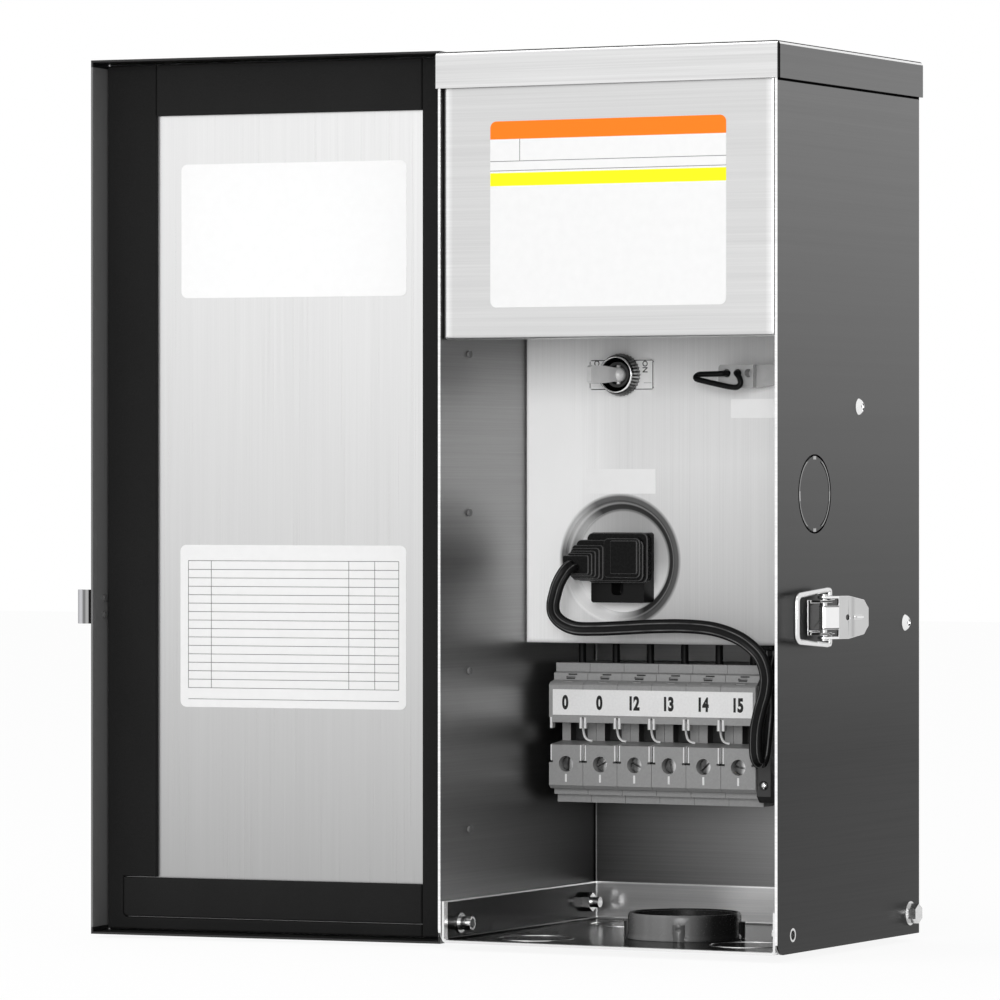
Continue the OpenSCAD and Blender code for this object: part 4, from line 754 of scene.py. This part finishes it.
to_frame = Matrix.Translation(spot(0, 0, 0))
plug_back = 77.3
plug_layers = (
    (-45.5, -14.3, 163.4, 186.5, 3.0, 4.5), (-50.4, -15.9, 164.2, 183.3, 2.6, 6.0),
    (-35.7, -16.9, 165.7, 184.1, 2.4, 7.2), (-31.6, -17.6, 167.5, 183.1, 1.0, 8.8),
    (-52.2, -35.9, 164.6, 180.9, 1.8, 6.8), (-52.4, -37.4, 165.2, 179.6, 1.8, 7.6),
    (-52.7, -39.0, 165.9, 178.3, 1.6, 8.4), (-53.4, -40.5, 166.6, 177.3, 1.5, 9.2),
    (-55.5, -41.9, 167.3, 176.2, 1.2, 10.0))
steps = bmesh.new()
for left, right, low, high, corner, height in plug_layers:
    edge = ((0, 0), (0, height - 0.6), (0.15, height - 0.25), (0.45, height))
    raised(steps, rounded(left, right, low, high, corner), edge, plug_back, -1)
plug = piece("plug_moulding", from_form("plug_moulding", steps, to_frame), "cabinet", "black_moulding",
             plug_vinyl.material, plug_edge_highlight.material)
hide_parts("plug_body")
relief = softened("relief_moulding", "strain_relief", 0.0003, plug_vinyl, "black_moulding")
brass = Finish("bare_brass", 0.3, 1.0)
brass_stain = brass.noise((500, 500, 500), 3.0)
brass.give("Base Color", brass.blend(brass_stain, (0.42, 0.28, 0.09), (0.7, 0.5, 0.2)))
dress(brass, "plug_blades", *(f"clamp_cage_{k}" for k in range(1, 7)))


# Toggle switch
# A switch through the inner panel with a white legend plate, a knurled chrome ring painted dark as
# painted reflection, with a painted highlight on its rim, and a flat lever that lies to the left.
switch_x, switch_z = -33, 259.8
tooth_count = 36
knurl_r, rim_r = 8.0, 8.25
ring_chrome = Finish("ring_chrome", 0.25, 1.0)
from_axis_x = ring_chrome.across() - switch_x
from_axis_z = ring_chrome.level() - switch_z
ring_r = (from_axis_x * from_axis_x + from_axis_z * from_axis_z).maths("SQRT")
# The chrome is painted nearly black as painted reflection, with a painted highlight on the rim and painted
# glints on the teeth at the sides.
teeth = (from_axis_z.maths("ARCTAN2", from_axis_x) * tooth_count).maths("SINE") > 0.2
at_front = ring_chrome.depth() < 77.8
ring_rim_highlight = ring_r.near(rim_r, 0.5) * at_front
sideways = (1 - from_axis_z.maths("ABSOLUTE") / 7).held()
knurl_glint = (ring_r > knurl_r) * (teeth * sideways * 0.7 + 0.03)
ring_chrome.give("Base Color", knurl_glint * (1 - ring_rim_highlight) + ring_rim_highlight * 0.93 + 0.012)
softened("knurled_ring", "toggle_nut", 0, ring_chrome, "bright_steel")
switch_black = moulding("switch_black", 0.012, 0.35)
dress(switch_black, "toggle_body")
lever_steel = plated("lever_steel", 0.72, 0.8, 0.35)
lever_steel.give("Metallic", 0.1)
softened("lever_bat", "toggle_lever", 0.0003, lever_steel, "bright_steel")

plate_paint = Finish("legend_paint", 0.38, specular_ior_level=0.4)
border_x, border_z = 16.2, 6.7
plate_x = (plate_paint.across() - switch_x).maths("ABSOLUTE") - border_x
plate_z = (plate_paint.level() - switch_z).maths("ABSOLUTE") - border_z
plate_frame = (plate_x | plate_z).near(0, 0.2)
underline = plate_z.near(-2.9, 0.12) * (plate_paint.level() < switch_z) * plate_x.near(-2.6, 2.0)
marks = plate_frame | underline * 0.6
plate_paint.give("Base Color", (1 - marks) * 0.93 + plate_paint.noise((300, 300, 300)) * 0.03)
dress(plate_paint, "toggle_plate")


def lettering(name, words, size, shift, squeeze, weight):
    """Plain characters as a thin mesh that faces forwards, moved to its place."""
    line = bpy.data.curves.new(name, "FONT")
    line.body = words
    line.size = size
    line.align_x = "CENTER"
    line.align_y = "CENTER"
    line.extrude = 0.00006
    line.offset = weight
    holder = bpy.data.objects.new(name + "_line", line)
    mesh = bpy.data.meshes.new_from_object(holder)
    bpy.data.objects.remove(holder)
    mesh.name = name
    mesh.materials.clear()
    upright_turn = Matrix.Rotation(math.radians(90), 4, "X")
    mesh.transform(shift @ upright_turn @ Matrix.Diagonal((squeeze, 1, 1, 1)))
    return mesh


ink = Finish("black_ink", 0.5, specular_ior_level=0.3)
ink.give("Base Color", ink.noise((900, 900, 900)) * 0.01 + 0.006)
turned = Matrix.Rotation(math.radians(90), 4, "Y")
plate_face = 83.66
mark_z = 263.5
for name, word, x in (("on_mark", "ON", -20.9), ("off_mark", "OFF", -45.8)):
    on_plate = Matrix.Translation(spot(x, plate_face, mark_z)) @ turned
    piece(name, lettering(name, word, 0.0036, on_plate, 1.0, 0.00004), "cabinet", "legend_plate",
          ink.material)


# Splice connector and bridging wire
# A clear-grey connector with three ports on the inner panel. A short black wire loops from one
# port to the next.
cloudy = Finish("clear_grey", 0.22, specular_ior_level=0.6, transmission_weight=0.25)
haze = cloudy.noise((180, 180, 180), 3.0)
cloudy.give("Base Color", haze * 0.2 + 0.5)
softened("splice_shell", "splice_connector", 0.0004, cloudy, "clear_moulding")

jumper_route = [spot(*p) for p in (
    (25.7, 76, 259.7), (25.7, 73, 259.7), (24.8, 71, 259.7), (22.6, 70.4, 259.6),
    (18, 70.4, 259.5), (13.7, 70.4, 259.4), (12.5, 70, 258.9), (12.1, 69.3, 258.2),
    (12.5, 68.7, 257.5), (13.7, 68.3, 257), (18, 68.3, 256), (24, 68.5, 254.7),
    (29.4, 68.8, 253.6), (33, 69, 253.4), (34.7, 69.2, 254.9), (34.4, 69.4, 257.1),
    (33.1, 69.8, 259), (31.7, 71.2, 259.9), (31.2, 73, 259.9), (31.2, 76, 259.9))]


def wire(name, route, radius, node):
    """A round insulated wire along a route."""
    turns = [math.tau * k / 12 for k in range(12)]
    round_section = [(radius * math.cos(a), radius * math.sin(a)) for a in turns]
    line = smooth_route(route, 4)
    long = sum((b - a).length for a, b in zip(line, line[1:]))
    made = piece(name, swept(name, line, round_section), "cabinet", "cord_jacket", jacket_black)
    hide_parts(node)
    2 * radius


wire("bridging_wire", jumper_route, 0.0013, "jumper_wire")


# Terminal blocks
# Six grey screw-clamp blocks on a rail, with a white strip of plain numbers. Each has a slotted
# clamp screw, a white tick under it, and a window with the spring clip of its neighbour.
block_pitch = 17.8
first_block = -67.5


def from_block_middle(finish):
    """Millimetres to the right of the middle of the block that a point is on."""
    share = ((finish.across() - first_block) / block_pitch + 0.5).maths("FRACT")
    return (share - 0.5) * block_pitch


block_grey = moulding("block_grey", 0.50, 0.42, 1100.0)
from_middle = from_block_middle(block_grey)
from_edge = block_pitch / 2 - from_middle.maths("ABSOLUTE")
block_z = block_grey.level()
# Painted shade: the grooves between the blocks, the small slots and the windows are painted dark; the lips
# beside the grooves are painted light as a painted highlight.
low_cut = block_z.near(82.9, 4.2)
high_cut = block_z.near(97.3, 2.6)
foot_cut = block_z.near(79.2, 0.5) * (from_edge < 2.0)
dash = (block_z.near(119.9, 0.35) * from_middle.near(1.1, 2.3)
        + block_z.near(118.0, 0.35) * from_middle.near(0.0, 2.2))
groove_shade = low_cut * (from_edge < 0.8) | high_cut * (from_edge < 0.55) | foot_cut | dash
lip_highlight = low_cut * from_edge.near(1.15, 0.35) | high_cut * from_edge.near(1.1, 0.5)
in_front = block_grey.depth() < 102.5
window_shade = (block_grey.depth() > 109.3) * block_z.near(92.6, 5.2)
block_tone = (block_grey.noise((1100, 1100, 1100)) * 0.08 + 0.265) * (1 - window_shade)
block_tone = block_tone * (1 - in_front * (groove_shade | lip_highlight)) + in_front * lip_highlight * (1 - groove_shade) * 0.8 + 0.008
block_grey.give("Base Color", block_tone)
for k in range(1, 7):
    softened(f"block_{k}", f"terminal_{k}", 0.00022, block_grey, "grey_moulding")
screw_steel = Finish("screw_steel", 0.25, 1.0)
# Each clamp screw is painted brighter to the right of its middle: a painted highlight.
screw_right_highlight = (from_block_middle(screw_steel) / 3).held()
screw_steel.give("Base Color", screw_right_highlight * 0.75 + screw_steel.noise((500, 500, 500)) * 0.2)
dress(screw_steel, *(f"clamp_screw_{k}" for k in range(1, 7)))
tinned = plated("tinned_copper", 0.35, 0.5, 0.4)
dress(tinned, "current_bars")
stop_grey = moulding("stop_grey", 0.02, 0.4)
softened("stop_block", "end_stop", 0.0003, stop_grey, "dark_grey_moulding")
strip_white = moulding("strip_white", 0.88, 0.35, 900.0, 0.00001)
dress(strip_white, "marker_strip")

strip_face = 94.32
number_z = 106.6
for k, value in enumerate(("0", "0", "12", "13", "14", "15")):
    on_strip = Matrix.Translation(spot(first_block + k * block_pitch, strip_face, number_z))
    piece(f"number_{k + 1}", lettering(f"number_{k + 1}", value, 0.0086, on_strip, 0.7, 0.0004),
          "cabinet", "white_card", ink.material)


def in_a_row(name, item, count, step, body, slot, finish):
    """count copies of a mesh, each a step from the last, made by Geometry Nodes."""
    source = bpy.data.objects.new(name, item)
    bpy.context.scene.collection.objects.link(source)
    group = bpy.data.node_groups.new(name + "_row", "GeometryNodeTree")
    group.interface.new_socket("Geometry", in_out="OUTPUT", socket_type="NodeSocketGeometry")
    group.interface.new_socket("Item", in_out="INPUT", socket_type="NodeSocketGeometry")
    number = group.interface.new_socket("Count", in_out="INPUT", socket_type="NodeSocketInt")
    stride = group.interface.new_socket("Step", in_out="INPUT", socket_type="NodeSocketVector")
    look = group.interface.new_socket("Finish", in_out="INPUT", socket_type="NodeSocketMaterial")
    tree = Tree(group)
    given = tree.node("NodeGroupInput", {}).socket.node.outputs
    line = tree.node("GeometryNodeMeshLine", {"mode": "OFFSET"}, Term(tree, given["Count"]), None,
                     None, Term(tree, given["Step"]))
    copies = tree.node("GeometryNodeInstanceOnPoints", {}, line, None, Term(tree, given["Item"]))
    real = tree.node("GeometryNodeRealizeInstances", {}, copies)
    done = tree.node("GeometryNodeSetMaterial", {}, real, None, Term(tree, given["Finish"]))
    end = group.nodes.new("NodeGroupOutput")
    group.links.new(done.socket, end.inputs[0])
    row = source.modifiers.new("row", "NODES")
    row.node_group = group
    row[number.identifier] = count
    row[stride.identifier] = step
    row[look.identifier] = finish.material
    bpy.context.view_layer.update()
    seen = source.evaluated_get(bpy.context.evaluated_depsgraph_get())
    mesh = bpy.data.meshes.new_from_object(seen)
    bpy.data.objects.remove(source)
    return piece(name, mesh, body, slot)


def slab(name, low, high):
    """A small plate between two corners, in millimetres, with bevelled edges."""
    corners = (spot(*low), spot(*high))
    block = bmesh.new()
    bmesh.ops.create_cube(block, size=1.0)
    size = corners[1] - corners[0]
    bmesh.ops.scale(block, vec=size, verts=block.verts)
    bmesh.ops.translate(block, vec=(corners[0] + corners[1]) / 2, verts=block.verts)
    bmesh.ops.bevel(block, geom=block.edges, offset=min(size) * 0.2, segments=1, affect="EDGES")
    mesh = bpy.data.meshes.new(name)
    block.to_mesh(mesh)
    block.free()
    return mesh


pitch_step = (block_pitch / 1000, 0, 0)
tick_white = moulding("tick_white", 0.85, 0.4)
tick = slab("tick", (first_block - 0.5, 94.9, 69.6), (first_block + 0.5, 95.4, 73.4))
in_a_row("tick_marks", tick, 6, pitch_step, "cabinet", "white_card", tick_white)

clip_turns = [math.tau * k / 8 for k in range(8)]
clip_section = [(0.0005 * math.cos(a), 0.0009 * math.sin(a)) for a in clip_turns]
clip_edge = first_block + block_pitch / 2
clip_line = smooth_route([spot(clip_edge + x, y, z) for x, y, z in (
    (-4.4, 104, 95.5), (-4.4, 104.4, 93.5), (-4.2, 104.8, 91.6), (-3.5, 105, 90),
    (-2.3, 105.4, 89), (-0.5, 106, 88.6))], 4)
in_a_row("spring_clips", swept("spring_clip", clip_line, clip_section), 5, pitch_step, "cabinet",
         "bright_steel", moulding("clip_chrome", 0.95, 0.12))


# Wound core and its leads
# A toroid wound in pale tape between rubber pads, held by a dished washer and one bolt behind the
# inner panel. Six black leads run down to the terminals.
core_z = 325
core_radius = 57.5
ply_count = 28
tape = Finish("winding_tape", 0.5, specular_ior_level=0.4)
angle = (tape.level() - core_z).maths("ARCTAN2", tape.across())
ply = (angle * ply_count).maths("SINE")
tape.give("Base Color", tape.blend(ply * 0.5 + 0.5, (0.5, 0.36, 0.12), (0.66, 0.52, 0.22)))
tape.bump(ply, 0.0004)
dress(tape, "toroid")
rubber = moulding("pad_rubber", 0.02, 0.6)
dress(rubber, "toroid_pads")

lead_apart = 9
lead_foot = 117.4
for k in range(1, 7):
    start_x = (k - 3.5) * lead_apart
    start_z = core_z + 1.5 - math.sqrt(core_radius ** 2 - start_x ** 2)
    end_x = first_block + (k - 1) * block_pitch
    lead_route = []
    for share in (0, 0.1, 0.2, 0.3, 0.4, 0.5, 0.6, 0.7, 0.8, 1):
        bend = (1 - math.cos(math.pi * min(1, share / 0.8))) / 2
        lead_route.append(spot(start_x + (end_x - start_x) * bend, 112.2 + 0.3 * bend,
                               start_z + (lead_foot - start_z) * share))
    wire(f"lead_{k}", lead_route, 0.0018, "secondary_leads")


# Door and hinge
# A folded pan of 1 mm stainless that hangs on a long hinge at the left. Its inner face is brushed
# upright and painted brighter at the top as painted light, its rim is painted dark as painted shade,
# and two white cards lie on it.
hinge_spot = spot(-90, 14.5, 203)
open_turn = math.radians(-173.6)
door_place = (Matrix.Translation(hinge_spot) @ Matrix.Rotation(open_turn, 4, "Z")
              @ Matrix.Translation(-hinge_spot))
closed_from_open = door_place.inverted()
door_steel, door_grain = brushed("door_steel", grain_upright, 0.3, contrast=0.3)
to_back = closed_from_open[1]
door_depth = (door_steel.axis(tuple(to_back[:3])) + to_back[3]) * 1000 + cabinet_depth
on_rim = door_depth > -4.1
on_outside = door_depth < -5
door_rise = height_share(door_steel)
# Painted light: the inner face lighter towards the top; the rim painted dark grey and its top and bottom
# ends near black, as painted shade.
inner_painted_light = door_rise * 0.75 - door_rise * door_rise * 0.3 + 0.38
on_end = (door_steel.level() - cabinet_height / 2).maths("ABSOLUTE") > 201.6
door_light_and_shade = on_rim * (1 - on_end * 0.95) * 0.15 + (1 - on_rim) * inner_painted_light
door_steel.give("Metallic", 1 - on_rim)
door_steel.give("Base Color", (door_light_and_shade * (1 - on_outside) + on_outside * 0.5) * door_grain)
dress(door_steel, "door_pan")
dress(plated("hinge_steel", 0.4, 0.6), "hinge_cabinet_leaf", "hinge_door_leaf")


door_inside = -4.6


def door_card(name, left, right, low, high, finish):
    """A card on the door's inside, placed on the closed door and opened with it."""
    middle = spot((left + right) / 2, door_inside, (low + high) / 2)
    shift = door_place @ Matrix.Translation(middle) @ Matrix.Rotation(math.pi, 4, "Z")
    width, height = (right - left) / 1000, (high - low) / 1000
    piece(name, card(name, width, height, 0.003, card_thick, shift), "door", "white_card", finish.material)


door_card("upper_card", -64.4, 49.4, 296.3, 359, lit_paper)
door_card("lower_card", -64.2, 49.9, 104.6, 180.6, plain_paper)

rule_ink = moulding("rule_ink", 0.12, 0.5)
table_left, table_right = -60.5, 45.8
table_top, table_foot = 173.2, 108.4
row_gap = 3.96
rule_half = 0.14


def door_bar(name, left, right, low, high):
    """A printed line on a door card, as a mesh on the open door."""
    line = slab(name, (left, door_inside + 0.1, low), (right, door_inside + 0.19, high))
    line.transform(door_place)
    return line


first_row = 169.1
table_row = door_bar("table_row", table_left, table_right, first_row - rule_half, first_row + rule_half)
in_a_row("table_rows", table_row, 15, (0, 0, -row_gap / 1000), "door", "white_card", rule_ink)
for k, x in enumerate((table_right, 34.1, -35.5, -48.5, table_left)):
    column = door_bar("table_column", x - rule_half, x + rule_half, 113.6, table_top)
    piece(f"table_column_{k + 1}", column, "door", "white_card", rule_ink.material)
for name, z in (("table_head", table_top), ("table_foot", table_foot)):
    bar = door_bar(name, table_left, table_right, z - rule_half, z + rule_half)
    piece(name, bar, "door", "white_card", rule_ink.material)


# Foam strips
# Black closed-cell foam, 3 mm thick, stuck along the four sides of the door's inner face. The free
# side's strip runs on along the door's lower edge, and the lower strip lies in its corner.
def black_foam(name, tone):
    """Closed-cell foam rubber."""
    foam = Finish(name, 0.8, specular_ior_level=0.1)
    cells = foam.noise((1500, 1500, 1500), 3.0)
    wave = foam.noise((30, 30, 12), 2.0)
    foam.give("Base Color", cells * 0.006 + wave * 0.006 + tone)
    foam.bump(cells, 0.0001, 0.5)
    return foam.material


def foam_strip(name, outline, thick, material):
    """One strip of foam with rounded edges, made on the closed door and opened with it."""
    form = bmesh.new()
    edge = ((0, 0), (0, thick - 0.7), (0.12, thick - 0.35), (0.4, thick - 0.1), (0.9, thick))
    raised(form, outline, edge, door_inside, 1)
    made = piece(name, from_form(name, form, door_place @ to_frame), "door", "foam_gasket",
                 material, material)
    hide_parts("door_gaskets")


def quarter(x, z, radius, start, end):
    """A quarter of a circle as a few points of an outline."""
    turns = [math.radians(start + (end - start) * k / 5) for k in range(6)]
    return [(x + radius * math.cos(a), z + radius * math.sin(a)) for a in turns]


side_foam = black_foam("side_foam", 0.0075)
# The upper and lower strips take a lighter copy of the same foam: painted light.
lip_foam_lit = black_foam("lip_foam_lit", 0.0105)
side_thick, lip_thick = 2.8, 3.0
foam_end = 86.2
foam_left = -72.9
top = cabinet_height
foam_strip("foam_free_side", [(foam_left, 0), (foam_end, 0), (foam_end, top), (61.4, top), (61.4, 24.6),
                              (78.3, 24.6), *quarter(76.3, 7.5, 2, 0, -90), (foam_left, 5.5)],
           side_thick, side_foam)
foam_strip("foam_hinge_side", [(-foam_end, 0), (-73.2, 0), (-73.2, top), (-foam_end, top)],
           side_thick, side_foam)
foam_strip("foam_top", [(foam_left, 382), (61.1, 382), (61.1, top), (foam_left, top)], lip_thick, lip_foam_lit)
foam_strip("foam_bottom", [(foam_left, 5.9), *quarter(76, 7.9, 2, -90, 0), (78, 24.2), (foam_left, 24.2)],
           lip_thick, lip_foam_lit)


# Latch
# A chromed draw latch on the right wall: a base with two ears, a lever with a torsion spring, and
# a wire bail that draws the keeper on the door.
latch_chrome = plated("latch_chrome", 0.7, 0.8, 0.2)
lever_chrome = Finish("lever_chrome", 0.25, 1.0)
latch_z = 149.3
# Painted light and shade: the barrel and rib are painted bright as painted highlight, the fold darker and
# the eyes nearly black as painted shade.
lever_y = lever_chrome.depth()
lever_z = (lever_chrome.level() - latch_z).maths("ABSOLUTE")
barrel = lever_y < 42.4
fold = (1 - (lever_y - 51.4).maths("ABSOLUTE") / 1.8).held()
eyes = lever_y.near(38, 4.4) * lever_z.near(6.6, 1.9)
rib = lever_z.near(0, 0.4) * lever_y.near(56, 2.6)
lever_light_and_shade = barrel * 0.3 + lever_chrome.noise((90, 90, 90)) * 0.06 + 0.56 - fold * 0.14 + rib * 0.25
lever_chrome.give("Base Color", lever_light_and_shade * (1 - eyes * 0.97))
# The foot's chrome is painted nearly black as painted reflection, and the bevelled edges of foot and lever
# take bright chrome as a painted highlight.
foot_chrome_shaded = plated("foot_chrome_shaded", 0.02, 0.06, 0.2)
softened("latch_foot", "latch_base", 0.0003, foot_chrome_shaded, "bright_steel", latch_chrome)
softened("latch_paddle", "latch_lever", 0.0003, lever_chrome, "bright_steel", latch_chrome)
softened("bail_wire", "latch_bail", 0, latch_chrome, "bright_steel", swell=0.0002)
softened("torsion_spring", "latch_spring", 0, latch_chrome, "bright_steel")
keeper_steel = Finish("keeper_steel", 0.3, 1.0)
# The keeper is painted in light and dark bands across its width: painted light and shade.
keeper_left = -278.2
keeper_share = (keeper_steel.across() - keeper_left) / 8
keeper_light_and_shade = keeper_steel.node("ShaderNodeValToRGB", {"stops": (
    (0.0, (0.03, 0.03, 0.035)), (1.0, (0.004, 0.004, 0.004)), (0.1, (0.06, 0.06, 0.07)),
    (0.2, (0.5, 0.5, 0.52)), (0.38, (0.6, 0.6, 0.62)), (0.55, (0.14, 0.14, 0.14)),
    (0.72, (0.42, 0.42, 0.42)), (0.82, (0.4, 0.4, 0.4)), (0.87, (0.01, 0.01, 0.01)))}, keeper_share)
keeper_steel.give("Base Color", keeper_light_and_shade)
softened("keeper_hook", "latch_keeper", 0.0002, keeper_steel, "bright_steel")
